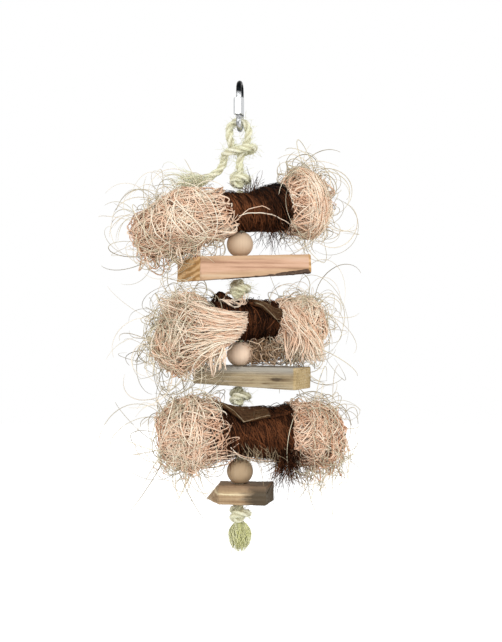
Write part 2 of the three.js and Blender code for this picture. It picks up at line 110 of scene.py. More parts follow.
# The tail thins where its yarns leave it: from a share of its length, over a share, by a share.
TAIL_THINS = (0.35, 0.4, 0.65)

# The link
LINK_TURN = np.radians(82)
LINK_LEG = 6.0
LINK_ROD = 2.0
LINK_BOWS = (-4.0, -27.0)
THREAD_TIPS = (-17.0, -20.6)
THREAD_LENGTHS = (6.0, 6.6)
THREAD_DEPTH = 0.34
NUT = (-22.8, -10.2)
NUT_FLAT = 3.5
NUT_BORE = LINK_ROD + 0.3
# The nut's ends: their radius, and how much and in which length it grows to the full size.
NUT_END, NUT_GROWS, NUT_CONE = 3.42, 0.62, 0.9

# The mats of the rolls, with the reach of the tucked rim and of the waist. The free edge falls back
# to the roll by so many shares a turn, climbs by so many degrees at most, and comes loose and lies
# down again in two lengths.
MAT = 3.0
MAT_PITCH = 3.6
MAT_TURNS = 1.75
RIM_TUCK = 11
WAIST_REACH = 8
FLAP_STEEP = 5
EDGE_CLIMB = 85
LOOSENS, LOOSE_END = 8, 3
# Lip and hollow of the second roll: their place along it and reach, then their angle and reach.
LIP = (-14, 5, 116, 20)
HOLLOW = (-12, 8, 72, 17)

# The tufts: where along them they are widest, how far their round end reaches from there, and where
# their curve bends. The room for loose strands round the solids is a share of each side and a
# length, and a share of it is taken. Wisps stay clear of the beads.
WIDEST, ROUND_END, TUFT_BEND = 0.4, 0.66, 0.42
ROOM_SHARE, ROOM, ROOM_TAKEN = 0.03, 10, 0.85
CLEAR_OF_BEADS = 11.5

# The beads and slats. A slat's edges are rounded in steps inwards, and down or up. The bark starts
# at a share of the slat's length.
BEAD = 10
HOLE = 4.0
HOLE_BEVEL, HOLE_INSET, HOLE_FLARE = 0.6, 0.35, 0.15
SLAT_STEPS = 60
SLAT_EDGE = 1.1
ROUND_IN, ROUND_DOWN = (0.8, 0.3, 0.06, 0.0), (0.0, 0.1, 0.36, 0.85)
BARK_START = 0.18

# The stage, in metres: the camera to the right and its height, and the floor's height.
CAMERA = (0.0084, -0.1786)
FLOOR = -0.75

# The three tiers from the top, with angles in degrees. Beads and knots have their middle's height.
# A roll has its radius, its reach to both sides of the rope, how much wider each end is, its turn
# about the rope, its lift and its middle's height. Its free edge stands off by the flap. The edge has
# its lowest angle, where along the roll that is and its slopes before and after, then the part of a
# turn that is worn (felt) and the stretch that is loose. The waist has a depth and a place, lip and
# hollow have a height each, the right rim is tucked in by a share, and the fibres have a slant and a
# tone at both ends.
# A tuft has its tip from the roll's end, its widest radius, how flat it is, how far strands stray
# along it and round it, how many strands take each course, and its tone. A lap has its reach on the
# roll, its lowest and highest angle and the angle at which it has faded to a fifth. Strands that
# cross the roll have two places along it and three angles. Slack strands droop by a length at most.
# Wisps are long and short, and fall by a length at most.
# A slat has its reach to both sides and to the front, its depth, how much further each end reaches
# at the back (cuts) and the left end at its lower corner there (toe), its turn, the height of its top
# at the rope, a thickness at both ends, and how far the top rises to the right end.
TIERS = [
    {
        "roll": {"radius": 15.5, "left": 17, "right": 42, "flares": (1.05, 1.22), "turn": 20,
                 "lift": 8, "height": -94.83, "flap": 0.6, "edge": (250, 0, 0, 0), "felt": 0.04,
                 "loose": (-99, 99), "waist": (0.15, 8), "lip": (0, 0), "tuck": 0.5, "slant": -5,
                 "tone": (0.28, -0.2)},
        "left": {"tip": (-61, 5, -17), "swell": 23, "flat": 0.95, "crossing": (0.4, 0.55),
                 "lying": 700, "flowing": 240, "wound": 160, "capping": 90, "coiled": 200,
                 "lapping": 170, "lap": (10, -90, 270, 60), "drooping": 220, "droop": 15,
                 "crossing_roll": 2, "crossing_at": (-9, 32, -22, -6, -45),
                 "wisps": (120, 280), "fall": 9, "tone": -0.02},
        "right": {"tip": (25, 15, 5), "swell": 26, "flat": 0.9, "crossing": (0.3, 0.95),
                  "lying": 460, "flowing": 60, "wound": 260, "capping": 110, "coiled": 300,
                  "lapping": 240, "lap": (6.5, -90, 270, 400),
                  "wisps": (90, 230), "fall": 7, "tone": -0.02},
        "bead": -120.36, "bead_tan": 0.55,
        "slat": {"left": 33, "right": 51, "front": 19, "depth": 36, "cuts": (13, 3), "toe": 0,
                 "turn": 12, "top": -129.82, "thick": (17.8, 13.6), "rise": 1.5},
        "knot": -154.23,
    },
    {
        "roll": {"radius": 15.6, "left": 20, "right": 34, "flares": (1.1, 1.08), "turn": 20,
                 "lift": -4, "height": -178.08, "flap": 3.2, "edge": (6, 22, 3.2, 0), "felt": 0.08,
                 "loose": (4, 99), "waist": (0, 0), "lip": (6, 4), "tuck": 0.2, "slant": 0,
                 "tone": (-0.1, 0.0)},
        "left": {"tip": (-35, -22, -33), "swell": 25, "flat": 0.66, "crossing": (0.4, 0.3),
                 "lying": 320, "flowing": 200, "wound": 40, "capping": 90, "brush": 520,
                 "trailing": 26, "drooping": 120, "droop": 12, "curling": 9,
                 "wisps": (140, 300), "fall": 9, "tone": 0.07},
        "right": {"tip": (29, 12, -9), "swell": 23, "flat": 0.85, "crossing": (0.3, 0.6),
                  "lying": 420, "flowing": 60, "wound": 80, "capping": 100, "coiled": 240,
                  "lapping": 240, "lap": (8, -110, 100, 150), "draping": 200,
                  "hanging": 440, "drooping": 110, "droop": 9,
                  "wisps": (90, 230), "fall": 9, "tone": 0.12},
        "bead": -203.43, "bead_tan": 0.0,
        "slat": {"left": 33, "right": 46, "front": 14, "depth": 34, "cuts": (-2, 5), "toe": 0,
                 "turn": -14, "top": -212.89, "thick": (13.2, 16.4), "rise": -0.5},
        "knot": -235.69,
    },
    {
        "roll": {"radius": 19.5, "left": 22, "right": 43, "flares": (1.03, 1.14), "turn": 15,
                 "lift": -3, "height": -263.44, "flap": 2.4, "edge": (26, -2.5, 3.5, 0.8),
                 "felt": 0.17, "loose": (-99, 20), "waist": (0.08, 24), "lip": (0, 0), "tuck": 0.04,
                 "slant": -8, "tone": (0.04, 0.14)},
        "left": {"tip": (-38, -4, -4), "swell": 26, "flat": 0.85, "crossing": (0.6, 0.6),
                 "lying": 640, "flowing": 170, "wound": 80, "capping": 110, "coiled": 300,
                 "lapping": 190, "lap": (20, -90, 270, 50), "drooping": 130, "droop": 12,
                 "crossing_roll": 2, "crossing_at": (-14, 36, -40, -62, -58),
                 "wisps": (100, 230), "fall": 20, "tone": -0.1},
        "right": {"tip": (35, 10, 4), "swell": 25, "flat": 0.85, "crossing": (0.6, 0.65),
                  "lying": 640, "flowing": 120, "wound": 60, "capping": 110, "coiled": 200,
                  "lapping": 190, "lap": (6, -100, 130, 200),
                  "drooping": 130, "droop": 14, "wisps": (110, 230), "fall": 34, "tone": -0.17},
        "bead": -292.62, "bead_tan": 1.0,
        "slat": {"left": 14, "right": 22, "front": 13, "depth": 26, "cuts": (4, 2), "toe": 11,
                 "turn": -10, "top": -302.08, "thick": (14.2, 14.6), "rise": 0.3},
        "knot": -324.69,
    },
]


# SETTINGS


def colour(name, description, default):
    """A colour that a user may change."""
    return FloatVectorProperty(
        name=name, description=description, default=default, size=3, min=0, max=1, subtype="COLOR"
    )


def length(name, description, default):
    """A length in metres that a user may change."""
    return FloatProperty(
        name=name, description=description, default=default, min=0, unit="LENGTH", precision=4
    )


def count(name, description, default):
    """A number of things that a user may change."""
    return IntProperty(name=name, description=description, default=default, min=0)


def amount(name, description, default, unit="NONE"):
    """An amount that a user may change."""
    return FloatProperty(name=name, description=description, default=default, min=0, unit=unit)


class SteelSettings(bpy.types.PropertyGroup):
    """Finish of the screw link."""

    bright: colour("Bright", "Colour of the clean zinc", (0.62, 0.63, 0.64))
    dull: colour("Dull", "Colour of the worn zinc", (0.03, 0.033, 0.034))
    black: colour("Black", "Colour of the upper bow's top", (0.006, 0.007, 0.008))
    thread_pitch: length("Thread pitch", "Distance between two turns of the thread", 0.0007)


class RopeSettings(bpy.types.PropertyGroup):
    """Finish of the laid rope, its fuzz and its frayed ends."""

    lay: length("Lay", "Length in which a strand goes once round the rope", 0.021)
    pale: colour("Pale", "Colour of the clean yarn", (0.9, 0.88, 0.72))
    green: colour("Green", "Colour of the raw, greenish yarn", (0.84, 0.84, 0.58))
    shade: colour("Shade", "Colour deep between the strands", (0.6, 0.56, 0.37))
    tassel: colour("Tassel", "Colour of most of the tassel's yarn", (0.66, 0.66, 0.3))
    tassel_pale: colour("Tassel pale", "Colour of its palest yarn", (0.88, 0.87, 0.6))
    fuzz: count("Fuzz", "Loose hairs on each 10 mm of rope", 34)
    fuzz_length: length("Fuzz length", "Length of the longest loose hairs", 0.008)
    fray: count("Fray", "Hairs of a frayed end", 420)


class FibreSettings(bpy.types.PropertyGroup):
    """Finish of the rolled fibre mats."""

    deep: colour("Deep", "Colour in the shade between the fibres", (0.006, 0.0035, 0.0025))
    brown: colour("Brown", "Colour of most fibres", (0.07, 0.025, 0.011))
    red: colour("Red", "Colour of the fibres that catch the light", (0.28, 0.1, 0.04))
    felt: colour("Felt", "Colour of the mat's worn free edge", (0.15, 0.085, 0.04))
    straw: colour("Straw", "Colour of its palest fibres", (0.5, 0.39, 0.25))
    nest: colour("Nest", "Colour of the nest under the second roll", (0.4, 0.25, 0.14))
    nest_pale: colour("Nest pale", "Colour of the shavings in the nest", (0.85, 0.65, 0.46))
    fibres: count("Fibres", "Single fibres on the outside of each roll", 2100)
    width: length("Width", "Thickness of one fibre", 0.00042)


class WoolSettings(bpy.types.PropertyGroup):
    """Finish of the wood wool."""

    deep: colour("Deep", "Colour of the darkest strands", (0.52, 0.28, 0.16))
    pink: colour("Pink", "Colour of most strands", (0.9, 0.62, 0.44))
    pale: colour("Pale", "Colour of the palest strands", (0.98, 0.87, 0.71))
    wisp: colour("Wisp", "Colour of the thin loose wisps", (0.73, 0.65, 0.47))
    wisp_dark: colour("Wisp dark", "Colour of the darkest wisps", (0.31, 0.265, 0.18))
    fullness: amount("Fullness", "Share of the strands made", 1)
    width: length("Width", "Width of one strand", 0.00114)


class WoodSettings(bpy.types.PropertyGroup):
    """Finish of the beads and the slats."""

    bead: colour("Bead", "Colour of the palest bead, the second", (0.85, 0.65, 0.485))
    bead_tan: colour("Bead tan", "Colour of the third, darker bead", (0.46, 0.33, 0.2))
    fresh: colour("Fresh", "Colour of the first slat", (0.61, 0.375, 0.25))
    fresh_end: colour("Fresh end", "Colour of the first slat's sawn end", (0.7, 0.45, 0.22))
    grey: colour("Grey", "Colour of the weathered second slat", (0.34, 0.27, 0.165))
    grey_end: colour("Grey end", "Colour of the second slat's sawn end", (0.49, 0.365, 0.185))
    brown: colour("Brown", "Colour of the third slat", (0.48, 0.34, 0.2))
    brown_dark: colour("Brown dark", "Colour of the third slat's dark part", (0.042, 0.032, 0.02))
    bark: colour("Bark", "Colour of the bark", (0.05, 0.032, 0.023))
    bark_pale: colour("Bark pale", "Colour of the bark's flakes", (0.2, 0.13, 0.09))


class StageSettings(bpy.types.PropertyGroup):
    """Camera and light."""

    distance: length("Distance", "Camera to the rope", 0.8)
    frame_height: length("Frame height", "Height that the picture covers at the rope", 0.488)
    key: amount("Key", "Power of the main lamp", 5.0, "POWER")
    fill: amount("Fill", "Power of the side lamp", 4.4, "POWER")
    sky: amount("Sky", "Light from all round", 0.72)
    floor: colour("Floor", "Colour of the floor", (0.86, 0.86, 0.86))


# SHAPES


def unit(vectors):
    """Each vector over its own length."""
    return vectors / np.maximum(np.linalg.norm(vectors, axis=-1, keepdims=True), 1e-9)


def xyz(x, y, z):
    """Points from their coordinates, each an array or one number for all."""
    return np.stack(np.broadcast_arrays(x, y, z), axis=-1)


def round_turn(steps):
    """Angles at equal steps once round."""
    return np.linspace(0, TURN, steps, endpoint=False)


def between(one, two, share):
    """From one to the other on a straight line."""
    return one * (1 - share) + two * share


def parabola(start, pull, end, u):
    """From start to end, leaving and arriving in the direction of a third point."""
    return (1 - u) ** 2 * start + 2 * u * (1 - u) * pull + u**2 * end


def domed(near, least=0.0004):
    """Share of a radius near an end, which a quarter circle rounds off."""
    return np.sqrt(np.clip(1 - (1 - np.clip(near, 0, 1)) ** 2, least, 1))


def lengths(points):
    """How far along a line each of its points is."""
    return np.concatenate([[0], np.cumsum(np.linalg.norm(np.diff(points, axis=0), axis=1))])


def drawn(rng, number):
    """Two ways to draw a column of random numbers, one for each strand: even between two limits,
    and normal about zero."""

    def even(low, high):
        return rng.uniform(low, high, (number, 1))

    def normal(size):
        return rng.normal(0, size, (number, 1))

    return even, normal


def from_eye(points):
    """Rope diameters from the eye's middle, in millimetres."""
    return EYE_MIDDLE + ROPE * np.array(points, float)


def evenly(points, steps):
    """Points at equal distances along a line: each coordinate is read off at equal lengths."""
    far = lengths(points)
    at = np.linspace(0, far[-1], steps)
    return np.stack([np.interp(at, far, points[:, axis]) for axis in range(3)], axis=1)


def through(points, steps):
    """A smooth line through points: between two of them it is the cubic that leaves and arrives
    with slopes worked out from both neighbours, at a pace that is the root of each distance."""
    p = np.asarray(points, float)
    p = np.vstack([2 * p[0] - p[1], p, 2 * p[-1] - p[-2]])
    a, b, c, d = p[:-3], p[1:-2], p[2:-1], p[3:]
    pace = np.sqrt(np.linalg.norm(np.diff(p, axis=0), axis=1))[:, None]
    ab, bc, cd = pace[:-2], pace[1:-1], pace[2:]
    leave = ((b - a) / ab - (c - a) / (ab + bc) + (c - b) / bc) * bc
    arrive = ((c - b) / bc - (d - b) / (bc + cd) + (d - c) / cd) * bc
    u = np.linspace(0, 1, 24, endpoint=False)[None, :, None]
    b, c, leave, arrive = b[:, None], c[:, None], leave[:, None], arrive[:, None]
    line = (2 * u**3 - 3 * u**2 + 1) * b + (u**3 - 2 * u**2 + u) * leave
    line = line + (3 * u**2 - 2 * u**3) * c + (u**3 - u**2) * arrive
    return evenly(np.vstack([line.reshape(-1, 3), p[-2]]), steps)


def carried(path):
    """Directions along and square to a path, without twist: a fixed side is made square to the
    path, and the twist that this gives from station to station is summed and turned back."""
    along = unit(np.gradient(path, axis=0))
    side = np.linalg.eigh(along.T @ along)[1][:, 0]
    one = unit(side - along * (along @ side)[:, None])
    two = np.cross(along, one)
    axis = np.cross(along[:-1], along[1:])
    cosine = (along[:-1] * along[1:]).sum(1, keepdims=True)
    lean = (axis * one[:-1]).sum(1, keepdims=True) / (1 + cosine)
    moved = one[:-1] * cosine + np.cross(axis, one[:-1]) + axis * lean
    twist = np.arctan2((moved * two[1:]).sum(1), (moved * one[1:]).sum(1))
    twist = np.concatenate([[0], np.cumsum(twist)])[:, None]
    normal = one * np.cos(twist) + two * np.sin(twist)
    return along, normal, np.cross(along, normal)


def round_path(path, radius):
    """A tube: at each station a ring whose radius may change along and round the path."""
    _, normal, other = carried(path)
    angle = round_turn(radius.shape[1])[None, :, None]
    ring = normal[:, None] * np.cos(angle) + other[:, None] * np.sin(angle)
    return path[:, None] + radius[..., None] * ring


def ripple(points, size, seed, waves=10):
    """A smooth uneven height from about -1 to 1: the mean of sine waves that run in random
    directions, each about `size` long."""
    rng = np.random.default_rng(seed)
    way = unit(rng.normal(size=(waves, 3))) * rng.uniform(0.6, 1.7, (waves, 1)) * TURN / size
    return np.sin(points @ way.T + rng.uniform(0, TURN, waves)).mean(-1) * 1.8


def surface(name, points, material, body, slot, stands_for=(), ring=False, **values):
    """Puts a grid into a mesh that rides on a body. Points are tubes x rings x sides in
    millimetres: the sides go round, the rings go along, and both ends are closed by a face, or
    the last ring is joined to the first."""
    tubes, rings, sides, _ = points.shape
    number = np.arange(tubes * rings * sides).reshape(tubes, rings, sides)
    ends = np.concatenate([number[:, 0, ::-1], number[:, -1]])
    if ring:
        ends = ends[:0]
        number = np.concatenate([number, number[:, :1]], axis=1)
    beside = np.roll(number, -1, axis=2)
    quads = np.stack([number[:, :-1], beside[:, :-1], beside[:, 1:], number[:, 1:]], axis=-1)
    corners = np.concatenate([quads.ravel(), ends.ravel()])
    starts = np.concatenate(
        [np.arange(0, quads.size, 4), np.arange(quads.size, len(corners), sides)]
    )
    mesh = bpy.data.meshes.new(name)
    mesh.vertices.add(tubes * rings * sides)
    mesh.vertices.foreach_set("co", (points * MM).astype(np.float32).ravel())
    mesh.loops.add(len(corners))
    mesh.loops.foreach_set("vertex_index", corners.astype(np.int32))
    mesh.polygons.add(len(starts))
    mesh.polygons.foreach_set("loop_start", starts.astype(np.int32))
    mesh.polygons.foreach_set("use_smooth", np.ones(len(starts), bool))
    for key, value in values.items():
        layer = mesh.attributes.new(key, "FLOAT", "POINT")
        layer.data.foreach_set("value", np.asarray(value, np.float32).ravel())
    mesh.update(calc_edges=True)
    if mesh.validate():
        raise RuntimeError(f"{name}: the mesh had faults")
    mesh.materials.append(material)
    piece = bpy.data.objects.new(name, mesh)
    bpy.context.scene.collection.objects.link(piece)
    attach(piece, body)
    if stands_for:
        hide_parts(*stands_for)
    return piece


def strands(name, paths, width, tone, material, body, slot, stands_for=(), taper=0.45):
    """One piece of thin strands, each with a tone: round each path goes a triangle that narrows to
    both ends by the square of the distance from the middle."""
    ahead = unit(np.gradient(paths, axis=1))
    side = unit(np.cross(ahead, unit(np.array([0.31, 0.52, 0.8]))))
    other = np.cross(ahead, side)
    angle = np.arange(3)[:, None] * TURN / 3
    ring = side[:, :, None] * np.cos(angle) + other[:, :, None] * np.sin(angle)
    radius = width[:, None] / 2 * (1 - taper * np.linspace(-1, 1, paths.shape[1]) ** 2)
    points = paths[:, :, None] + radius[..., None, None] * ring
    tone = np.broadcast_to(np.clip(tone, 0, 1)[:, None, None], points.shape[:3])
    return surface(name, points, material, body, slot, stands_for, tone=tone)


# FINISHES


def node(tree, kind, inputs=None, **settings):
    """A shader node with its settings. Its inputs are linked, or set to a value or a colour."""
    made = tree.nodes.new(kind)
    for key, value in settings.items():
        setattr(made, key, value)
    for key, value in (inputs or {}).items():
        socket = made.inputs[key]
        if isinstance(value, bpy.types.NodeSocket):
            tree.links.new(value, socket)
        else:
            socket.default_value = (*value, 1) if socket.type == "RGBA" else value
    return made


def blended(tree, share, one, two, how="MIX"):
    """A colour between two, by share."""
    mix = node(tree, "ShaderNodeMix", {0: share, 6: one, 7: two}, data_type="RGBA", blend_type=how)
    return mix.outputs[2]


def sums(tree, how, one, two=0.0, clamp=False):
    """A value worked out from two others."""
    return node(tree, "ShaderNodeMath", {0: one, 1: two}, operation=how, use_clamp=clamp).outputs[0]


def ranged(tree, value, low, high, to_low=0.0, to_high=1.0):
    """A value brought from one range to another, and held inside it."""
    inputs = {"Value": value, "From Min": low, "From Max": high, "To Min": to_low, "To Max": to_high}
    return node(tree, "ShaderNodeMapRange", inputs).outputs["Result"]


def own(tree, name):
    """A value that the piece's mesh carries."""
    return node(tree, "ShaderNodeAttribute", attribute_name=name).outputs["Fac"]


def place(tree, scale=(1, 1, 1), turn=(0, 0, 0), move=(0, 0, 0)):
    """The piece's own coordinates in metres: stretched, turned and moved."""
    here = node(tree, "ShaderNodeTexCoord").outputs["Object"]
    inputs = {"Vector": here, "Location": move, "Rotation": turn, "Scale": scale}
    return node(tree, "ShaderNodeMapping", inputs).outputs["Vector"]


def noise(tree, vector, scale, detail=4.0, rough=0.55, bend=0.0):
    """An uneven value, cloudy or streaky as its coordinates are stretched."""
    inputs = {
        "Vector": vector, "Scale": scale, "Detail": detail, "Roughness": rough, "Distortion": bend
    }
    return node(tree, "ShaderNodeTexNoise", inputs).outputs["Fac"]


def waves(tree, vector, scale, bend, direction, fine=1.0):
    """Bent bands across a direction."""
    inputs = {
        "Vector": vector, "Scale": scale, "Distortion": bend, "Detail": 3.0, "Detail Scale": fine
    }
    return node(tree, "ShaderNodeTexWave", inputs, bands_direction=direction).outputs["Fac"]


def shared(build, **sockets):
    """A node group that gives a colour and a height, made once and named for its builder."""
    found = bpy.data.node_groups.get(build.__name__)
    if found:
        return found
    tree = bpy.data.node_groups.new(build.__name__, "ShaderNodeTree")
    for label, kind in sockets.items():
        tree.interface.new_socket(label, in_out="INPUT", socket_type="NodeSocket" + kind)
    for label, kind in (("Color", "Color"), ("Height", "Float")):
        tree.interface.new_socket(label, in_out="OUTPUT", socket_type="NodeSocket" + kind)
    paint, height = build(tree, tree.nodes.new("NodeGroupInput").outputs)
    node(tree, "NodeGroupOutput", {"Color": paint, "Height": height})
    return tree


def strand_tint(tree, given):
    """Shared by all loose strands: three colours picked by the strand's tone, with blotches."""
    blotch = noise(tree, place(tree), given["Blotch"], 3.0)
    tone = sums(tree, "ADD", own(tree, "tone"), ranged(tree, blotch, 0.3, 0.7, -0.22, 0.22))
    low = blended(tree, ranged(tree, tone, 0.0, 0.5), given["Deep"], given["Middle"])
    high = blended(tree, ranged(tree, tone, 0.5, 1.0), low, given["Pale"])
    return high, noise(tree, place(tree), 2600.0, 2.0)


def wood_grain(tree, given):
    """Shared by all wood: long streaks along X, growth bands and fine pores."""

    def along(x, y):
        stretch = {0: given["Vector"], 1: (x, y, y)}
        return node(tree, "ShaderNodeVectorMath", stretch, operation="MULTIPLY").outputs[0]

    streaks = noise(tree, along(16, 420), 1.0, 6.0, 0.68)
    wander = noise(tree, along(14, 90), 1.0, 3.0)
    bands = waves(tree, along(0.06, 1), given["Bands"], 5.0, "Z")
    fine, broad = ranged(tree, streaks, 0.3, 0.7, -0.5, 0.5), ranged(tree, bands, 0, 1, -0.16, 0.16)
    mark = sums(tree, "ADD", fine, broad)
    mark = sums(tree, "ADD", mark, ranged(tree, wander, 0.3, 0.7, -0.5, 0.5))
    dark = blended(tree, 1.0, given["Wood"], (0.42, 0.33, 0.26), "MULTIPLY")
    pale = blended(tree, 0.28, given["Wood"], (1, 0.93, 0.82))
    share = sums(tree, "ADD", 0.5, sums(tree, "MULTIPLY", mark, given["Contrast"]), clamp=True)
    one = blended(tree, ranged(tree, share, 0.0, 0.5), dark, given["Wood"])
    paint = blended(tree, ranged(tree, share, 0.5, 1.0), one, pale)
    return paint, sums(tree, "ADD", streaks, sums(tree, "MULTIPLY", bands, 0.4))


def grained(tree, vector, wood, contrast, bands):
    """The colour and the height of wood."""
    made = shared(wood_grain, Vector="Vector", Wood="Color", Contrast="Float", Bands="Float")
    inputs = {"Vector": vector, "Wood": wood, "Contrast": contrast, "Bands": bands}
    return node(tree, "ShaderNodeGroup", inputs, node_tree=made).outputs


def known(make, *given):
    """A finish, made once and named for its maker, which returns the inputs of its main shader."""
    made = bpy.data.materials.get(make.__name__)
    if made:
        return made
    made = bpy.data.materials.new(make.__name__)
    made.use_nodes = True
    tree = made.node_tree
    tree.nodes.clear()
    shader = node(tree, "ShaderNodeBsdfPrincipled", make(tree, *given))
    node(tree, "ShaderNodeOutputMaterial", {"Surface": shader.outputs["BSDF"]})
    return made


def skin(tree, paint, rough, shine, height, strength, depth, metal=0.0):
    """Inputs of a main shader, with fine relief from a height."""
    bump = node(tree, "ShaderNodeBump", {"Height": height, "Strength": strength, "Distance": depth})
    return {
        "Base Color": paint, "Roughness": rough, "Specular IOR Level": shine, "Metallic": metal,
        "Normal": bump.outputs["Normal"],
    }


def loose(tree, deep, middle, pale, rough=0.75, blotch=60.0, shine=0.25):
    """Strands of one kind, each with its own tone."""
    made = shared(strand_tint, Deep="Color", Middle="Color", Pale="Color", Blotch="Float")
    inputs = {"Deep": deep, "Middle": middle, "Pale": pale, "Blotch": blotch}
    tint = node(tree, "ShaderNodeGroup", inputs, node_tree=made).outputs
    return skin(tree, tint["Color"], rough, shine, tint["Height"], 0.3, 0.0001)


def rope_hair(tree, settings):
    """Loose hairs of the rope."""
    return loose(tree, settings.shade, settings.green, settings.pale)


def tassel_yarn(tree, settings):
    """Unlaid yarn of the tassel, still green."""
    return loose(tree, settings.shade, settings.tassel, settings.tassel_pale)


def fibre_hair(tree, settings):
    """Single coconut fibres, which shine a little."""
    # Painted shade and highlight: the tones run from the deep colour to the lit red.
    return loose(tree, settings.deep, settings.brown, settings.red, 0.5, 45.0, 0.05)


def felt_hair(tree, settings):
    """Worn and paler coconut fibres."""
    return loose(tree, settings.brown, settings.felt, settings.straw, 0.7, 45.0, 0.14)


def nest_hair(tree, settings):
    """The nest under the second roll: brown fibres, with shavings among them."""
    return loose(tree, settings.felt, settings.nest, settings.nest_pale, 0.7, 45.0)


def wool_strand(tree, settings):
    """Strands of wood wool."""
    return loose(tree, settings.deep, settings.pink, settings.pale)


def wool_wisp(tree, settings):
    """The thin, loose and greenish wisps of wood wool."""
    return loose(tree, settings.wisp_dark, settings.wisp, settings.pale)


def rope_yarn(tree, settings):
    """Laid rope: pale yarn with a raw green cast in patches, painted shade between the strands,
    and fine yarns that run across the lay."""
    cast = ranged(tree, noise(tree, place(tree), 90.0, 3.0), 0.4, 0.66)
    yarn = blended(tree, cast, settings.pale, settings.green)
    fine = noise(tree, place(tree), 1500.0, 5.0, 0.65)
    yarn = blended(tree, ranged(tree, fine, 0.35, 0.7, 0.0, 0.35), yarn, settings.shade)
    # Painted shade: the yarn darkens to the shade colour in the grooves between the strands.
    groove = ranged(tree, own(tree, "bulge"), GROOVE, 0.92, 0.85, 0.0)
    paint = blended(tree, groove, yarn, settings.shade)
    return skin(tree, paint, 0.9, 0.2, sums(tree, "ADD", fine, own(tree, "yarn")), 0.7, 0.0006)


def fibre_mat(tree, settings):
    """The mat's own face under its loose fibres: matted brown streaks round the roll."""
    matted = noise(tree, place(tree, (1, 0.5, 0.5)), 480.0, 6.0, 0.7, 1.5)
    coarse = noise(tree, place(tree), 70.0, 3.0)
    # Painted shade: the darkest streaks take the deep colour.
    felt = blended(tree, ranged(tree, matted, 0.35, 0.7), settings.deep, settings.brown)
    share = sums(tree, "MULTIPLY", ranged(tree, coarse, 0.45, 0.75), ranged(tree, matted, 0.4, 0.7))
    # Painted highlight: patches of the lit red.
    felt = blended(tree, share, felt, settings.red)
    share = sums(tree, "MULTIPLY", own(tree, "edge"), ranged(tree, matted, 0.25, 0.65))
    felt = blended(tree, share, felt, settings.felt)
    return skin(tree, felt, 0.95, 0.03, matted, 0.9, 0.0014)


def wool_core(tree, settings):
    """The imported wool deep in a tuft, nearly all in shade."""
    matted = noise(tree, place(tree), 420.0, 6.0, 0.7, 2.0)
    # Painted shade: the core leans to the darkest wool colour.
    paint = blended(tree, ranged(tree, matted, 0.4, 0.75), settings.deep, settings.pink)
    return skin(tree, paint, 0.95, 0.1, matted, 1.0, 0.002)


def zinc(tree, settings):
    """Zinc on the bent rod, much of it dull and dark."""
    return plated(tree, settings, 0.38, 0.56)


def nut_zinc(tree, settings):
    """Zinc on the nut, nearly all of it bright."""
    return plated(tree, settings, 0.62, 0.9)


def plated(tree, settings, bright, dull):
    """Zinc plate: dull and bright patches, parted by two levels of a noise, and fine scratches. It
    is black on top of the upper bow."""
    patches = noise(tree, place(tree), 110.0, 4.0, 0.6)
    scratches = noise(tree, place(tree, (1, 1, 0.08)), 2600.0, 3.0)
    plate = blended(tree, ranged(tree, patches, bright, dull), settings.bright, settings.dull)
    above = node(tree, "ShaderNodeSeparateXYZ", {0: place(tree)}).outputs["Z"]
    paint = blended(tree, ranged(tree, above, -0.0075, -0.005), plate, settings.black)
    worn = ranged(tree, patches, 0.3, 0.7, 0.16, 0.32)
    rough = sums(tree, "ADD", worn, ranged(tree, scratches, 0.5, 0.8, 0.0, 0.12))
    return skin(tree, paint, rough, 0.5, scratches, 0.12, 0.0002, metal=1.0)


def bead_wood(tree, settings):
    """Turned and sanded bead: faint grain upright along the bore."""
    wood = blended(tree, own(tree, "tan"), settings.bead, settings.bead_tan)
    grain = grained(tree, place(tree, turn=(0, np.pi / 2, 0)), wood, 0.09, 140.0)
    rough = ranged(tree, grain["Height"], 0.2, 1.0, 0.48, 0.66)
    return skin(tree, grain["Color"], rough, 0.3, grain["Height"], 0.12, 0.0003)


def fresh_slat(tree, settings, turn):
    """Pink sawn wood, ochre along its edges and golden brown on its sawn end, which shows the
    growth rings aslant."""
    grain = grained(tree, place(tree, turn=turn), settings.fresh, 0.5, 90.0)
    rings = waves(tree, place(tree, (0.2, 0.35, 1), turn), 110.0, 6.0, "DIAGONAL", 1.2)
    shade = blended(tree, 1.0, settings.fresh_end, (0.6, 0.5, 0.36), "MULTIPLY")
    sawn = blended(tree, ranged(tree, rings, 0.2, 0.8), shade, settings.fresh_end)
    outer = sums(tree, "ABSOLUTE", sums(tree, "SUBTRACT", own(tree, "height"), 0.55))
    ochre = blended(tree, 1.0, grain["Color"], (0.9, 0.95, 0.86), "MULTIPLY")
    face = blended(tree, ranged(tree, outer, 0.2, 0.4), grain["Color"], ochre)
    face = blended(tree, own(tree, "end_face"), face, sawn)
    return skin(tree, face, 0.75, 0.25, grain["Height"], 0.35, 0.0006)


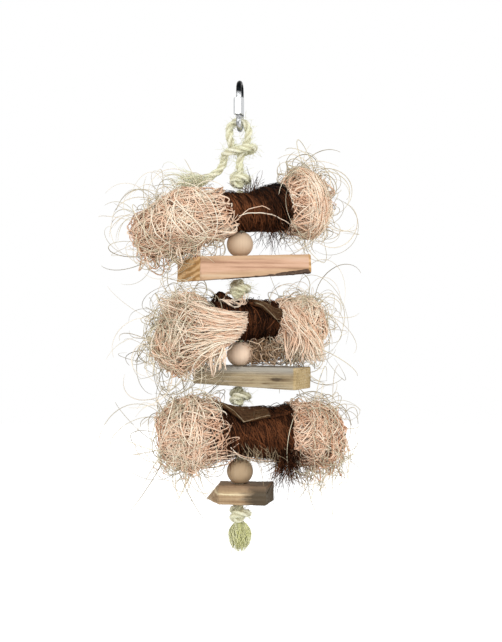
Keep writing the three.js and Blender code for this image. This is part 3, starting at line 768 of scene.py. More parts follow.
def grey_slat(tree, settings, turn):
    """Weathered wood: grey and brown streaks, a blue-grey band along the top, one dark knot mark,
    and a yellow sawn end."""
    tan, blue, knot = (0.46, 0.36, 0.22), (0.37, 0.36, 0.33), (0.03, 0.02, 0.014)
    grain = grained(tree, place(tree, turn=turn), settings.grey, 0.95, 190.0)
    patches = noise(tree, place(tree, (0.25, 1, 1), turn), 150.0, 4.0)
    face = blended(tree, ranged(tree, patches, 0.42, 0.62, 0.0, 0.7), grain["Color"], tan)
    top = sums(tree, "MULTIPLY", ranged(tree, own(tree, "height"), 0.62, 0.9), 0.7)
    face = blended(tree, top, face, blue)
    mark = place(tree, (0.45, 0, 1.2), move=(-0.01215, 0, 0.2664))
    far = node(tree, "ShaderNodeVectorMath", {0: mark}, operation="LENGTH").outputs["Value"]
    far = sums(tree, "ADD", far, ranged(tree, patches, 0.3, 0.7, -0.0013, 0.0013))
    face = blended(tree, ranged(tree, far, 0.0004, 0.002, 0.6, 0.0), face, knot)
    sawn = grained(tree, place(tree, turn=turn), settings.grey_end, 0.42, 150.0)["Color"]
    face = blended(tree, own(tree, "end_face"), face, sawn)
    return skin(tree, face, 0.85, 0.25, grain["Height"], 0.7, 0.001)


def brown_slat(tree, settings, turn):
    """Tan wood that turns dark brown towards its right end, with a broad and a thin pale band of
    painted highlight along its middle, and painted shade along its upper edge."""
    broad_highlight, thin_highlight, upper = (0.66, 0.5, 0.3), (0.84, 0.72, 0.46), (0.25, 0.16, 0.1)
    grain = grained(tree, place(tree, turn=turn), settings.brown, 0.6, 80.0)
    edge = noise(tree, place(tree), 160.0, 3.0)
    grown = noise(tree, place(tree, (0.15, 1, 1), turn), 260.0, 4.0)
    across = sums(tree, "ADD", own(tree, "lengthwise"), ranged(tree, grown, 0.3, 0.7, -0.1, 0.1))
    dark = blended(tree, 0.12, settings.brown_dark, grain["Color"])
    face = blended(tree, ranged(tree, across, 0.6, 0.8), grain["Color"], dark)
    wander = sums(tree, "ADD", own(tree, "height"), ranged(tree, edge, 0.3, 0.7, -0.05, 0.05))
    off = sums(tree, "ABSOLUTE", sums(tree, "SUBTRACT", wander, 0.55))
    # Painted highlight: two pale bands along the middle, which fade out to the right.
    fading = ranged(tree, across, 0.5, 0.7, 1.0, 0.0)
    broad = sums(tree, "MULTIPLY", ranged(tree, off, 0.05, 0.2, 0.35, 0.0), fading)
    face = blended(tree, broad, face, broad_highlight)
    streak = sums(tree, "MULTIPLY", ranged(tree, off, 0.025, 0.06, 0.85, 0.0), fading)
    face = blended(tree, streak, face, thin_highlight)
    # Painted shade along the upper edge and on the top face.
    face = blended(tree, ranged(tree, own(tree, "height"), 0.72, 0.95, 0.0, 0.55), face, upper)
    return skin(tree, face, 0.8, 0.25, grain["Height"], 0.5, 0.0008)


def bark_skin(tree, settings, turn):
    """Dark bark: flaky ridges along the slat."""
    flakes = noise(tree, place(tree, (0.3, 1, 1), turn), 320.0, 6.0, 0.7, 1.0)
    paint = blended(tree, ranged(tree, flakes, 0.4, 0.72), settings.bark, settings.bark_pale)
    return skin(tree, paint, 0.95, 0.1, flakes, 1.0, 0.0015)


def stage_floor(tree, settings):
    """White to the camera where nothing shades it."""
    seen = node(tree, "ShaderNodeLightPath").outputs["Is Camera Ray"]
    return {
        "Base Color": settings.floor, "Roughness": 1.0, "Specular IOR Level": 0.0,
        "Emission Color": (1, 1, 1), "Emission Strength": sums(tree, "MULTIPLY", seen, 0.75),
    }


# ROPE


def lobes(path, lay):
    """Radius of a rope of three round strands, as a share of the rope's own: the strand circle's
    far crossing at each angle, turned once in every lay. Also the yarns' height, and how far along
    each station is."""
    far = lengths(path)
    turned = round_turn(ROPE_SIDES)[None] - TURN * far[:, None] / lay
    part = (turned + TURN / 6) % (TURN / 3) - TURN / 6
    beside = np.maximum(STRAND**2 - (STRAND_OUT * np.sin(part)) ** 2, 0)
    share = STRAND_OUT * np.cos(part) + np.sqrt(beside)
    yarn = 0.5 + 0.5 * np.sin(YARNS * turned + TURN * far[:, None] / YARN_LAY)
    return np.maximum(share, GROOVE), yarn, far


def laid_rope(name, path, settings, body, stands_for):
    """Rope along a path, with domed ends, and its hairs as a second piece."""
    share, yarn, far = lobes(path, settings.lay / MM)
    share = share * (1 + 0.05 * ripple(path, 7, len(path))[:, None])
    dome = domed(np.minimum(far, far[-1] - far)[:, None] / (ROPE / 2))
    points = round_path(path, ROPE / 2 * share * dome)
    surface(
        name, points[None], known(rope_yarn, settings), body, "sisal_rope", (stands_for,),
        bulge=share, yarn=yarn,
    )
    hairs(name + "_fuzz", path, settings, body, int(settings.fuzz * far[-1] / 10))


def hairs(name, path, settings, body, number):
    """Loose hairs: each leaves the rope's skin aslant, at a random place and angle, along a
    parabola that bends back to the rope or away from it."""
    rng = np.random.default_rng(len(path))
    one, _ = drawn(rng, number)
    along, normal, other = carried(path)
    at = rng.integers(2, len(path) - 2, number)
    angle = one(0, TURN)
    out = normal[at] * np.cos(angle) + other[at] * np.sin(angle)
    start = path[at] + out * ROPE / 2 * 0.82
    way = along[at] * rng.choice([-1, 1], (number, 1)) * one(0.3, 1)
    way = unit(way + out * one(0.35, 0.9) + rng.normal(0, 0.25, (number, 3)))
    curl = unit(rng.normal(size=(number, 3))) * 0.55 - out * 0.15
    size = settings.fuzz_length / MM * one(0.3, 1)[..., None] ** 1.5
    step = np.linspace(0, 1, 6)[None, :, None]
    paths = start[:, None] + size * (way[:, None] * step + curl[:, None] * step**2)
    width, tone = rng.uniform(0.16, 0.34, number), rng.uniform(0.35, 1, number)
    strands(name, paths, width, tone, known(rope_hair, settings), body, "sisal_rope", taper=0.3)


def knot_path(middle):
    """The overhand knot's rope: its half, and the half turned upside down and front to back."""
    half = np.array(HALF_KNOT)
    whole = np.vstack([half, half[-2::-1] * (1, -1, -1)])
    return through(whole * KNOT_UNIT + (0, 0, middle), 190)


class ChewToyTail(bpy.types.Operator):
    """Make the rope's free end, which is laid at the knot and frayed at its tip"""

    bl_idname = "chew_toy.tail"
    bl_label = "Rope tail"

    def execute(self, context):
        settings = context.scene.chew_rope
        path = through(from_eye(TAIL), 90)
        share, yarn, far = lobes(path, settings.lay / MM)
        dome = domed((far[-1] - far)[:, None] / (ROPE / 2))
        start, over, by = TAIL_THINS
        thin = 1 - by * np.clip((far / far[-1] - start) / over, 0, 1)[:, None]
        points = round_path(path, ROPE / 2 * share * dome * thin)
        tail = surface(
            "rope_tail_laid", points[None], known(rope_yarn, settings), "tail",
            "sisal_rope", ("rope_tail",), bulge=share, yarn=yarn,
        )
        fray = self.fray(path, far[-1], settings)
        return {"FINISHED"}

    def fray(self, path, size, settings):
        """Loose yarns: each follows a stretch of the path and leaves it by a growing distance,
        while it goes round it by a random turn and in a slow wave."""
        rng = np.random.default_rng(11)
        number = settings.fray // 2
        one, some = drawn(rng, number)
        step = np.linspace(0, 1, 13)
        goes = one(0.1, 0.6) + (0.15 + 0.6 * one(0, 1)) * step
        along, normal, other = carried(path)
        at = np.clip(goes, 0, 1) * (len(path) - 1)
        low = np.floor(at).astype(int).clip(0, len(path) - 2)
        middle = between(path[low], path[low + 1], (at - low)[..., None])
        middle = middle + along[-1] * np.clip(goes - 1, 0, 0.2)[..., None] * size
        angle = one(0, TURN) + 1.6 * step * some(1)
        spread = 2.2 + one(0, 22) * np.clip(goes - 0.35, 0, 1) ** 1.2
        spread = spread + 1.2 * np.sin(one(5, 12) * step) * step
        ring = normal[low] * np.cos(angle)[..., None] + other[low] * np.sin(angle)[..., None]
        paths = middle + spread[..., None] * ring
        width, tone = rng.uniform(0.22, 0.5, number), rng.uniform(0.3, 1, number)
        made = known(rope_hair, settings)
        return strands("rope_tail_fray", paths, width, tone, made, "tail", "sisal_rope")


class ChewToyRope(bpy.types.Operator):
    """Make the rope's eye, neck, knots and the lengths between them"""

    bl_idname = "chew_toy.rope"
    bl_label = "Rope and knots"

    def execute(self, context):
        settings = context.scene.chew_rope
        bow = np.radians(np.arange(0, 181, 30))
        bow = xyz(np.cos(bow), 0, np.sin(bow)) * EYE_HALF_WIDTH + EYE_MIDDLE
        last = from_eye(TAIL[:2]).mean(axis=0)
        wrap = from_eye(EYE_WRAP + TAIL[:1])
        eye = np.vstack([EYE_FOOT, from_eye(EYE_RIGHT_LEG), bow, wrap, last])
        laid_rope("eye_rope", through(eye, 260), settings, "eye", "rope_eye")

        def upright(name, top, bottom, body, stands_for):
            """Straight rope on the middle line."""
            steps = max(12, int((top - bottom) / ROPE_STATION))
            line = np.linspace((0, 0, top), (0, 0, bottom), steps)
            laid_rope(name, line, settings, body, stands_for)

        upright("neck_rope", *NECK, "line_1", "rope_neck")
        stopper = knot_path(STOPPER_MIDDLE)
        laid_rope("stopper_knot", stopper, settings, "line_1", "rope_stopper_knot")
        knots = [tier["knot"] for tier in TIERS]
        tops = [STOPPER_MIDDLE - KNOT_END, knots[0] - CORE_DROP, knots[1] - CORE_DROP]
        for number, (knot, top) in enumerate(zip(knots, tops), 1):
            body = f"line_{number}"
            upright(f"core_rope_{number}", top, knot + KNOT_END, body, f"rope_core_{number}")
            laid_rope(f"tier_knot_{number}", knot_path(knot), settings, body, f"rope_knot_{number}")
        for number in (1, 2):
            bend = knots[number - 1] - BEND_DROP
            names = f"bend_{number}", f"rope_bend_{number}"
            upright(f"bend_rope_{number}", bend + BEND_HALF, bend - BEND_HALF, *names)
        return {"FINISHED"}


class ChewToyTassel(bpy.types.Operator):
    """Make the unlaid, curled rope end under the last knot"""

    bl_idname = "chew_toy.tassel"
    bl_label = "Tassel"

    def execute(self, context):
        settings = context.scene.chew_rope
        rng = np.random.default_rng(31)
        number = settings.fray
        one, some = drawn(rng, number)
        step = np.linspace(0, 1, 12)
        angle = one(0, TURN) + 0.9 * step * some(1)
        share = np.sqrt(one(0.05, 1))
        drop = TASSEL_DROP * np.sqrt(1 - 0.4 * share**2) + one(-4, 1)
        swell = TASSEL_ROOT + TASSEL_SWELL * np.sin(step * 2.5) ** 0.9
        radius = share * swell + 0.5 * np.sin(step * 9 + one(0, TURN)) * step
        height = TASSEL_TOP - 1 - drop * step
        paths = xyz(radius * np.cos(angle), radius * np.sin(angle) * 0.85, height)
        width = rng.uniform(0.3, 0.62, number)
        tone = 0.1 + 0.55 * share[:, 0] + rng.uniform(-0.2, 0.3, number)
        strands(
            "tassel_yarns", paths, width, tone, known(tassel_yarn, settings), "tassel", "sisal_rope",
            ("rope_tassel",),
        )
        number = TASSEL_WISPS
        one, _ = drawn(rng, number)
        angle = one(0, TURN) + 0.7 * step
        out = one(2, 8) + one(-3, 6) * step
        height = TASSEL_TOP - 8 - one(12, 29) * step
        paths = xyz(out * np.cos(angle), out * np.sin(angle) * 0.8, height)
        width, tone = rng.uniform(0.22, 0.36, number), rng.uniform(0.2, 0.8, number)
        made = known(rope_hair, settings)
        strands("tassel_wisps", paths, width, tone, made, "tassel", "sisal_rope")
        return {"FINISHED"}


# LINK


class ChewToyLink(bpy.types.Operator):
    """Make the bent rod of the screw link and its sleeve nut"""

    bl_idname = "chew_toy.link"
    bl_label = "Screw link"

    def execute(self, context):
        settings = context.scene.chew_steel
        facing = np.array([np.cos(LINK_TURN), np.sin(LINK_TURN), 0])
        self.rod(settings, facing)
        self.nut(settings, -LINK_LEG * facing)
        return {"FINISHED"}

    def rod(self, settings, facing):
        """A round rod from one thread round both bows, which are half circles, to the other. Its
        radius falls and rises evenly along each thread."""
        sweep = np.linspace(0, np.pi, 40)
        out, over = LINK_LEG * np.cos(sweep), LINK_LEG * np.sin(sweep)
        across = np.concatenate([[-LINK_LEG], -out, out, [-LINK_LEG]])[:, None]
        high, low = LINK_BOWS
        height = np.concatenate([THREAD_TIPS[1:], low - over, high + over, THREAD_TIPS[:1]])[:, None]
        path = evenly(across * facing + height * np.array([0, 0, 1]), 560)
        far = np.linspace(0, lengths(path)[-1], len(path))[:, None]
        thread = np.abs((far / (settings.thread_pitch / MM) + round_turn(28) / TURN) % 1 - 0.5) * 2
        on_thread = (far < THREAD_LENGTHS[0]) | (far > far[-1] - THREAD_LENGTHS[1])
        radius = np.where(on_thread, LINK_ROD - THREAD_DEPTH * thread, LINK_ROD)
        radius = radius * domed(np.minimum(far, far[-1] - far) / 0.5, 0.02)
        made = known(zinc, settings)
        surface("link_rod", round_path(path, radius)[None], made, "link", "zinc_steel", ("link_body",))

    def nut(self, settings, middle):
        """A six-sided sleeve, cut to a cone at both ends, with a plain bore. Its rings lie closer
        near both ends."""
        sides, close, apart = 144, 1.1, 1.6
        turn = round_turn(sides)
        flat = NUT_FLAT / np.cos((turn + np.pi / 6) % (np.pi / 3) - np.pi / 6)
        size = NUT[1] - NUT[0]
        down = [(0, close, 7), (apart, size - apart, 9), (size - close, size, 7)]
        down = np.concatenate([np.linspace(*stretch) for stretch in down])
        cone = np.clip(np.minimum(down, size - down) / NUT_CONE, 0, 1) ** 0.5
        cone = NUT_END + NUT_GROWS * cone
        outside = np.minimum(flat[:, None], cone[None])
        ring = np.concatenate([outside, np.full((sides, 2), NUT_BORE)], axis=1)
        height = NUT[1] - np.concatenate([down, [size, 0]])
        angle = (turn + LINK_TURN)[:, None]
        points = xyz(middle[0] + ring * np.cos(angle), middle[1] + ring * np.sin(angle), height)
        nut = surface(
            "link_sleeve_nut", points[None], known(nut_zinc, settings), "gate_nut", "zinc_steel",
            ("link_nut",), ring=True,
        )
        nut.data.set_sharp_from_angle(angle=np.radians(32))


# FIBRE ROLLS


def roll_frame(roll):
    """The roll's own directions: along it, to its front and above it."""
    turn, lift = np.radians(roll["turn"]), np.radians(roll["lift"])
    along = np.array([np.cos(lift) * np.cos(turn), np.cos(lift) * np.sin(turn), np.sin(lift)])
    front = unit(np.cross(along, (0, 0, 1)))
    return along, front, np.cross(front, along)


def roll_flare(roll, at):
    """How much wider the roll is at a distance along it: a smooth step to each end's flare."""
    left, right = roll["flares"]
    share = np.where(at < 0, -at / roll["left"], at / roll["right"]).clip(0, 1)
    return 1 + (np.where(at < 0, left, right) - 1) * share**2 * (3 - 2 * share)


def edge_angle(roll, at):
    """Where the mat's free edge lies, in degrees from the roll's front over its top: it falls to
    its lowest place along the roll with one slope, and rises after it with another."""
    lowest, where, before, after = roll["edge"]
    left, right = np.clip(where - at, 0, None), np.clip(at - where, 0, None)
    return lowest + np.minimum(before * left, EDGE_CLIMB) + after * right


def lifted(roll, at):
    """The share of its lift that the free edge has along the roll: it is loose in one stretch."""
    first, last = roll["loose"]
    return np.clip((at - first) / LOOSENS, 0, 1) * np.clip((last - at) / LOOSE_END, 0, 1)


def hump(at, degrees, where):
    """A round hump on the roll: e to the power of minus the squares of the distances from its
    middle, along the roll and round it, each over its reach."""
    along, reach, angle, spread = where
    return np.exp(-(((at - along) / reach) ** 2) - ((degrees - angle) / spread) ** 2)


def on_roll(roll, at, turns, lift):
    """A point over the mat's outer face: along the roll, after some turns of its spiral from the
    free edge inwards, and lifted off it. The spiral's radius shrinks by one mat each turn, the
    free edge stands off by a square law, the top has a waist, the right rim is tucked in, and a
    lip stands up behind a hollow on the left."""
    along, front, above = roll_frame(roll)
    angle = np.radians(edge_angle(roll, at)) + TURN * turns
    off = roll["flap"] * np.clip(1 - FLAP_STEEP * turns, 0, 1) ** 2 * lifted(roll, at)
    radius = (roll["radius"] - MAT_PITCH * turns) * roll_flare(roll, at)
    deep, where = roll["waist"]
    waist = deep * np.exp(-(((at - where) / WAIST_REACH) ** 2)) * (0.5 + 0.5 * np.sin(angle))
    end = np.clip((at - roll["right"] + RIM_TUCK) / RIM_TUCK, 0, 1) ** 2 * roll["tuck"]
    degrees = np.degrees(angle) % 360
    rise, dip = roll["lip"]
    lip = rise * hump(at, degrees, LIP) - dip * hump(at, degrees, HOLLOW)
    radius = (radius * (1 - waist - end) + off + lip + lift)[..., None]
    middle = np.array([0, 0, roll["height"]]) + at[..., None] * along
    angle = angle[..., None]
    return middle + radius * np.cos(angle) * front + radius * np.sin(angle) * above


def turns_to(roll, at, degrees):
    """The turns of the spiral from the free edge to an angle from the front over the top."""
    return ((degrees - edge_angle(roll, at)) / 360) % 1


def over_roll(roll, at, degrees, lift):
    """A point over the mat's outermost turn, by its angle from the front over the top."""
    return on_roll(roll, at, turns_to(roll, at, degrees), lift)


def stray(rng, roll, number, along, around, reach, pull):
    """Fibres that leave the roll inside a patch of it: parabolas that start outwards, are pulled
    one way and bend at random."""
    one, _ = drawn(rng, number)
    at, degrees = one(*along), one(*around)
    start = over_roll(roll, at, degrees, np.full_like(at, -0.6))
    out = unit(over_roll(roll, at, degrees, np.full_like(at, 5.0)) - start)
    way = unit(0.5 * out + np.array(pull) + rng.normal(0, 0.35, out.shape))
    bend = rng.normal(0, 0.42, out.shape)
    step = np.linspace(0, 1, 9)[None, :, None]
    size = one(*reach)[..., None]
    wave = 0.05 * np.sin(one(4, 11)[..., None] * step + one(0, TURN)[..., None])
    wave = wave * rng.normal(0, 1, out.shape)
    return start + size * (way * step + bend * step**2 + wave * step)


def curls(rng, roll, number, along, below, size):
    """Curled fibres under a stretch of the roll: arcs of circles, of random size and slope."""
    one, _ = drawn(rng, number)
    at, degrees = one(*along), one(-125, -65)
    start = over_roll(roll, at, degrees, one(*below))
    way = unit(rng.normal(size=start.shape))
    side = unit(np.cross(way, rng.normal(size=way.shape)))
    bend = (one(2.5, 6) * np.linspace(0, 1, 12))[..., None]
    return start + one(*size)[..., None] * (np.sin(bend) * way + (1 - np.cos(bend)) * side)


class ChewToyRolls(bpy.types.Operator):
    """Make the three rolled fibre mats with their loose fibres"""

    bl_idname = "chew_toy.rolls"
    bl_label = "Fibre rolls"

    def execute(self, context):
        settings = context.scene.chew_fibre
        self.width = settings.width / MM
        self.dark = known(fibre_hair, settings)
        self.worn = known(felt_hair, settings)
        for number, tier in enumerate(TIERS, 1):
            self.rolled_mat(number, tier["roll"], known(fibre_mat, settings))
            self.fibres(number, tier["roll"], settings.fibres)
            self.worn_edge(number, tier["roll"])
        self.frayed(known(nest_hair, settings))
        return {"FINISHED"}

    def hair(self, name, number, paths, width, tone, material):
        """A piece of fibres that rides on a roll."""
        strands(
            f"{name}_{number}", paths, width, tone, material, f"roll_{number}", "coconut_fibre"
        )

    def rolled_mat(self, number, roll, material):
        """The mat: its length's section, outer face and inner face, carried along the spiral."""
        stations, steps = 150, 44
        turns = np.linspace(0, MAT_TURNS, stations)[:, None]
        out = np.linspace(-roll["left"], roll["right"], steps)
        at = np.broadcast_to(np.concatenate([out, out[::-1]]), (stations, 2 * steps))
        inner = np.repeat([0.0, 1.0], steps)
        under = inner * MAT * roll_flare(roll, at)
        points = on_roll(roll, at, turns, -under)
        rough = 0.75 * ripple(points, 9, number) + 0.4 * ripple(points, 3.2, number + 5)
        points = on_roll(roll, at, turns, rough * (1 - inner) - under)
        end = (at == -roll["left"]) | (at == roll["right"])
        edge = np.clip(3 - 3 * turns / roll["felt"], 0, 1) * (1 - inner) * lifted(roll, at)
        edge = np.clip(edge + 0.6 * end, 0, 1)
        surface(
            f"rolled_mat_{number}", points[None, :, ::-1], material, f"roll_{number}",
            "coconut_fibre", (f"fibre_roll_{number}",), edge=edge[:, ::-1],
        )

    def fibres(self, number, roll, many):
        """Single fibres: most run round the roll, aslant by a random slope and with a slow wave;
        some stand out of both ends. Painted shade darkens them on the roll's top and underside."""
        rng = np.random.default_rng(50 + number)
        one, some = drawn(rng, many)
        step = np.linspace(0, 1, 8)[None]
        turns = one(0, 1.0) + one(0.08, 0.34) * step
        slope = roll["slant"] + some(5)
        at = one(-roll["left"] - 0.5, roll["right"] + 0.5) + slope * (step - 0.5)
        at = at + one(0, 1.6) * np.sin(4 * step + one(0, TURN))
        lift = rng.gamma(1.4, 0.4, (many, 1)) * (0.5 + np.sin(np.pi * step)) + 0.05
        bare = (turns[:, 0] < roll["felt"]) & (lifted(roll, at[:, 0]) > 0.5)
        around = on_roll(roll, at, turns, lift)[~bare]
        many = many // 5
        one, some = drawn(rng, many)
        turns = one(0, 1.0) + some(0.03) * step
        side = rng.choice([-1, 1], (many, 1))
        start = np.where(side < 0, -roll["left"], roll["right"]) - side * one(1, 8)
        at = start + side * one(4, 13) * step
        lift = one(-1.5, 0.8) + (0.2 + some(1.8)) * step**2
        paths = np.concatenate([around, on_roll(roll, at, turns, lift)])
        width = self.width * rng.uniform(0.6, 1.5, len(paths))
        middle = paths[:, 4]
        tone = rng.beta(1.6, 2.4, len(paths)) + 0.4 * ripple(middle, 9, 40 + number)
        axis = roll_frame(roll)[0]
        ends = [-5 - roll["left"] / 2, roll["right"] / 2]
        tone = tone + np.interp(middle @ axis, ends, roll["tone"])
        # Painted shade: darker tone on the roll's top and underside, lighter at its front and back.
        middle = middle - (0, 0, roll["height"])
        out = unit(middle - (middle @ axis)[:, None] * axis)
        tone = tone + 0.2 - 0.6 * out[:, 2] ** 2
        self.hair("roll_fibres", number, paths, width, tone, self.dark)

    def worn_edge(self, number, roll):
        """Paler fibres on the flap of the mat, and a pale line of them along its free edge."""
        rng = np.random.default_rng(60 + number)
        step = np.linspace(0, 1, 9)[None]
        first = max(-roll["left"], roll["loose"][0] + 3)
        last = min(roll["right"], roll["loose"][1] - 1)
        many, few = int(60 * roll["felt"] * (last - first)), int(20 + 500 * roll["felt"])
        one, some = drawn(rng, many)
        turns = one(0, roll["felt"]) + some(0.03) * (step - 0.5)
        at = one(first, last) + some(8) * (step - 0.5)
        lift = 0.3 + 0.8 * one(0, 1)
        flat = on_roll(roll, np.clip(at, first, last), np.clip(turns, 0.002, roll["felt"]), lift)
        one, _ = drawn(rng, few)
        at = np.clip(one(first, last - 8) + one(6, 16) * step, first, last)
        paths = np.concatenate([flat, on_roll(roll, at, 0.002 + 0 * at, one(-0.4, 0.5))])
        tone = np.concatenate([rng.beta(2, 4.5, many), rng.uniform(0.85, 1, few)])
        width = self.width * rng.uniform(0.6, 1.3, len(paths))
        self.hair("roll_edge", number, paths, width, tone, self.worn)

    def frayed(self, nest):
        """Fibres that have come loose: some stand on the first roll's waist and hang under it, a
        nest lies on the slat under the second, and the third one's lower right corner hangs in
        rags. A patch is given by its number of fibres, its reach along and round the roll in
        degrees, the fibres' lengths and their pull."""
        rng = np.random.default_rng(70)
        rolls = [tier["roll"] for tier in TIERS]
        up, down = (0, 0, 0.6), (0.1, -0.1, -1.0)
        patches = [
            [(60, (5, 15), (50, 110), (5, 14), up), (110, (12, 40), (-110, -40), (5, 16), down)],
            [(70, (4, 31), (-125, -60), (4, 11), down)],
            [(400, (27, 42), (-72, -25), (8, 22), down), (60, (-20, 14), (-100, -40), (4, 12), down)],
        ]
        for number, (roll, mine) in enumerate(zip(rolls, patches), 1):
            paths = np.concatenate([stray(rng, roll, *patch) for patch in mine])
            width = self.width * rng.uniform(0.55, 1.2, len(paths))
            self.hair("roll_rags", number, paths, width, rng.beta(1.5, 2, len(paths)), self.dark)
        paths = curls(rng, rolls[1], 560, (9, 31), (2, 16), (2, 6))
        paths[..., 2] = np.maximum(paths[..., 2], TIERS[1]["slat"]["top"] + 0.9)
        width, tone = rng.uniform(0.4, 0.9, len(paths)), rng.uniform(0.25, 1, len(paths))
        self.hair("roll_nest", 2, paths, width, tone, nest)
        pale = [(46, (14, 42), (-80, -25), (5, 16), down), (40, (-4, 16), (-65, -15), (5, 13), down)]
        paths = np.concatenate([stray(rng, rolls[2], *patch) for patch in pale])
        width, tone = rng.uniform(0.3, 0.5, len(paths)), rng.uniform(0.8, 1, len(paths))
        self.hair("roll_pale_rags", 3, paths, width, tone, self.worn)


# WOOD WOOL


def tuft_of(tier, side):
    """The tuft's curve from the roll's end to its tip, with its sizes."""
    roll, shape = tier["roll"], tier["left" if side < 0 else "right"]
    along, _, _ = roll_frame(roll)
    rim = -roll["left"] if side < 0 else roll["right"]
    mouth = np.array([0, 0, roll["height"]]) + along * rim
    tip = mouth + shape["tip"]
    reach = np.linalg.norm(tip - mouth)
    root = roll["radius"] - MAT_PITCH * MAT_TURNS - MAT - 0.5
    return {
        **shape, "mouth": mouth, "tip": tip, "reach": reach, "root": root, "side": side,
        "roll": roll, "rim": rim, "bend": mouth + along * side * reach * TUFT_BEND,
    }


def in_tuft(tuft, t, share, angle):
    """A point in a tuft: along its curve, a parabola from mouth to tip, then out from it by a
    share of the tuft's swelling, which is a sine to the widest place and an ellipse after it, with
    lumps. The angle goes from the tuft's own side over its top."""
    held = np.clip(t, 0, 1)[..., None]
    mouth, bend, tip = tuft["mouth"], tuft["bend"], tuft["tip"]
    along = unit((1 - held) * (bend - mouth) + held * (tip - bend))
    past = (t - held[..., 0])[..., None] * tuft["reach"]
    middle = parabola(mouth, bend, tip, held) + along * past
    across = unit(np.cross(along, (0, 0, 1)))
    above = np.cross(across, along)
    root, swell = tuft["root"], tuft["swell"]
    early = root + (swell - root) * np.sin(np.clip(t / WIDEST, 0, 1) * np.pi / 2)
    late = (np.clip(t, WIDEST, 1) - WIDEST) / ROUND_END
    late = swell * np.sqrt(np.clip(1 - late**2, 0, 1))
    skin_at = xyz(2.4 * t, np.cos(angle), np.sin(angle))
    lumps = 1 + np.clip(t + 0.2, 0, 1) * 0.17 * ripple(skin_at, 1.9, int(tuft["reach"] * 10))
    radius = np.where(t < WIDEST, early, late) * share * lumps
    wide, tall = radius * tuft["flat"] * np.cos(angle), radius * np.sin(angle)
    return middle + wide[..., None] * across + tall[..., None] * above


def arched(start, middle, end, step):
    """Parabolas, each through three points."""
    return parabola(start, 2 * middle - (start + end) / 2, end, step[..., None])


def lying(rng, tuft, number, step):
    """Strands that lie on the tuft like straw: a parabola over its skin, whose place along the tuft
    and round it differ at random, with its ends tucked in. A few ends stick out."""
    one, some = drawn(rng, number)
    along, across = tuft["crossing"]
    t = one(0.0, 0.95)
    change = some(along)
    ends = np.clip(np.concatenate([t - change / 2, t + change / 2], axis=1), -0.12, 1.04)
    angle = one(0, TURN)
    drift = some(across)
    share = np.sqrt(one(0.42, 1.0))
    out = np.where(one(0, 1) < 0.12, one(0.05, 0.25), one(-0.35, -0.05))
    start = in_tuft(tuft, ends[:, :1], share + one(-0.35, -0.05), angle - drift / 2)
    middle = in_tuft(tuft, ends.mean(1, keepdims=True), share * one(0.96, 1.1), angle)
    end = in_tuft(tuft, ends[:, 1:], share + out, angle + drift / 2)
    return arched(start, middle, end, step), share[:, 0]


def flowing(rng, tuft, number, step):
    """Strands that leave the mouth and fan out to the tip, each at its own share of the swelling
    and crossing its neighbours by a random drift round the curve. Their tips bend in."""
    one, some = drawn(rng, number)
    start = one(-0.22, 0.42)
    t = start + np.minimum(one(0.45, 1.0), 1.03 - start) * step
    share = np.sqrt(one(0.35, 1.05))
    fan = share + (np.sqrt(one(0.5, 1.25)) - share) * step
    fan = fan * (1 - 0.35 * np.clip(4 * step - 3, 0, 1) ** 2)
    angle = one(0, TURN) + some(tuft["crossing"][1] / 2) * step
    return in_tuft(tuft, t, fan, angle), share[:, 0]


def wound(rng, tuft, number, step):
    """Strands that lie round the tuft: a slow swing along its curve while they go part of a turn
    round it, near its skin."""
    one, _ = drawn(rng, number)
    t = one(0.25, 0.65) + one(0.1, 0.35) * np.sin(one(2, 4) * step + one(0, TURN))
    turn = one(2, 5) * rng.choice([-1, 1], (number, 1))
    share = one(0.75, 1.1)
    angle = one(0, TURN) + turn * step
    return in_tuft(tuft, np.clip(t, 0.02, 0.99), share + 0 * step, angle), share[:, 0]


def coiled(rng, tuft, number, step):
    """Strands coiled as in a nest: most of a turn round a place of the skin, a sine in the place
    along the tuft and a cosine in the angle round it."""
    one, _ = drawn(rng, number)
    about = one(0, TURN) + one(3.2, 5.8) * rng.choice([-1, 1], (number, 1)) * step
    t = one(0.25, 0.8) + one(0.12, 0.42) * np.sin(about)
    angle = one(0, TURN) + one(0.3, 1.1) * np.cos(about)
    share = one(0.82, 1.07)
    return in_tuft(tuft, np.clip(t, 0.02, 1.02), share + 0 * step, angle), share[:, 0]


def capping(rng, tuft, number, step):
    """Strands that lie across the tuft's tip, from one side of it to about the other."""
    one, some = drawn(rng, number)
    angle = one(0, TURN)
    start = in_tuft(tuft, one(0.6, 0.92), one(0.8, 1.0), angle)
    middle = in_tuft(tuft, one(0.97, 1.04), one(0.0, 1.6), one(0, TURN))
    end = in_tuft(tuft, one(0.6, 0.92), one(0.8, 1.0), angle + np.pi + some(0.8))
    return arched(start, middle, end, step), np.full(number, 0.9)


def lapping(rng, tuft, number, step):
    """Strands that pass the roll's rim and end on the tuft. Some start on the roll, and the others
    only loop over it from the tuft."""
    one, some = drawn(rng, number)
    roll, side, rim = tuft["roll"], tuft["side"], tuft["rim"]
    far, low, high, faded = tuft["lap"]
    degrees = one(low, high)
    angle = np.radians(degrees if side > 0 else 180 - degrees)
    near = rim - side * one(0.5, far) * np.clip((faded - degrees) / 100, 0.2, 1)
    lip = over_roll(roll, near, degrees + some(40), one(0.8, 3))
    over = over_roll(roll, rim + side * one(0.5, 3), degrees, one(1.5, 4))
    out, back = (
        in_tuft(tuft, one(0.12, 0.6), one(0.85, 1.05), angle + some(0.9)) for _ in range(2)
    )
    loop = one(0, 1)[..., None] < 0.75
    start, middle = np.where(loop, back, lip), np.where(loop, lip, over)
    return arched(start, middle, out, step), np.full(number, 0.95)


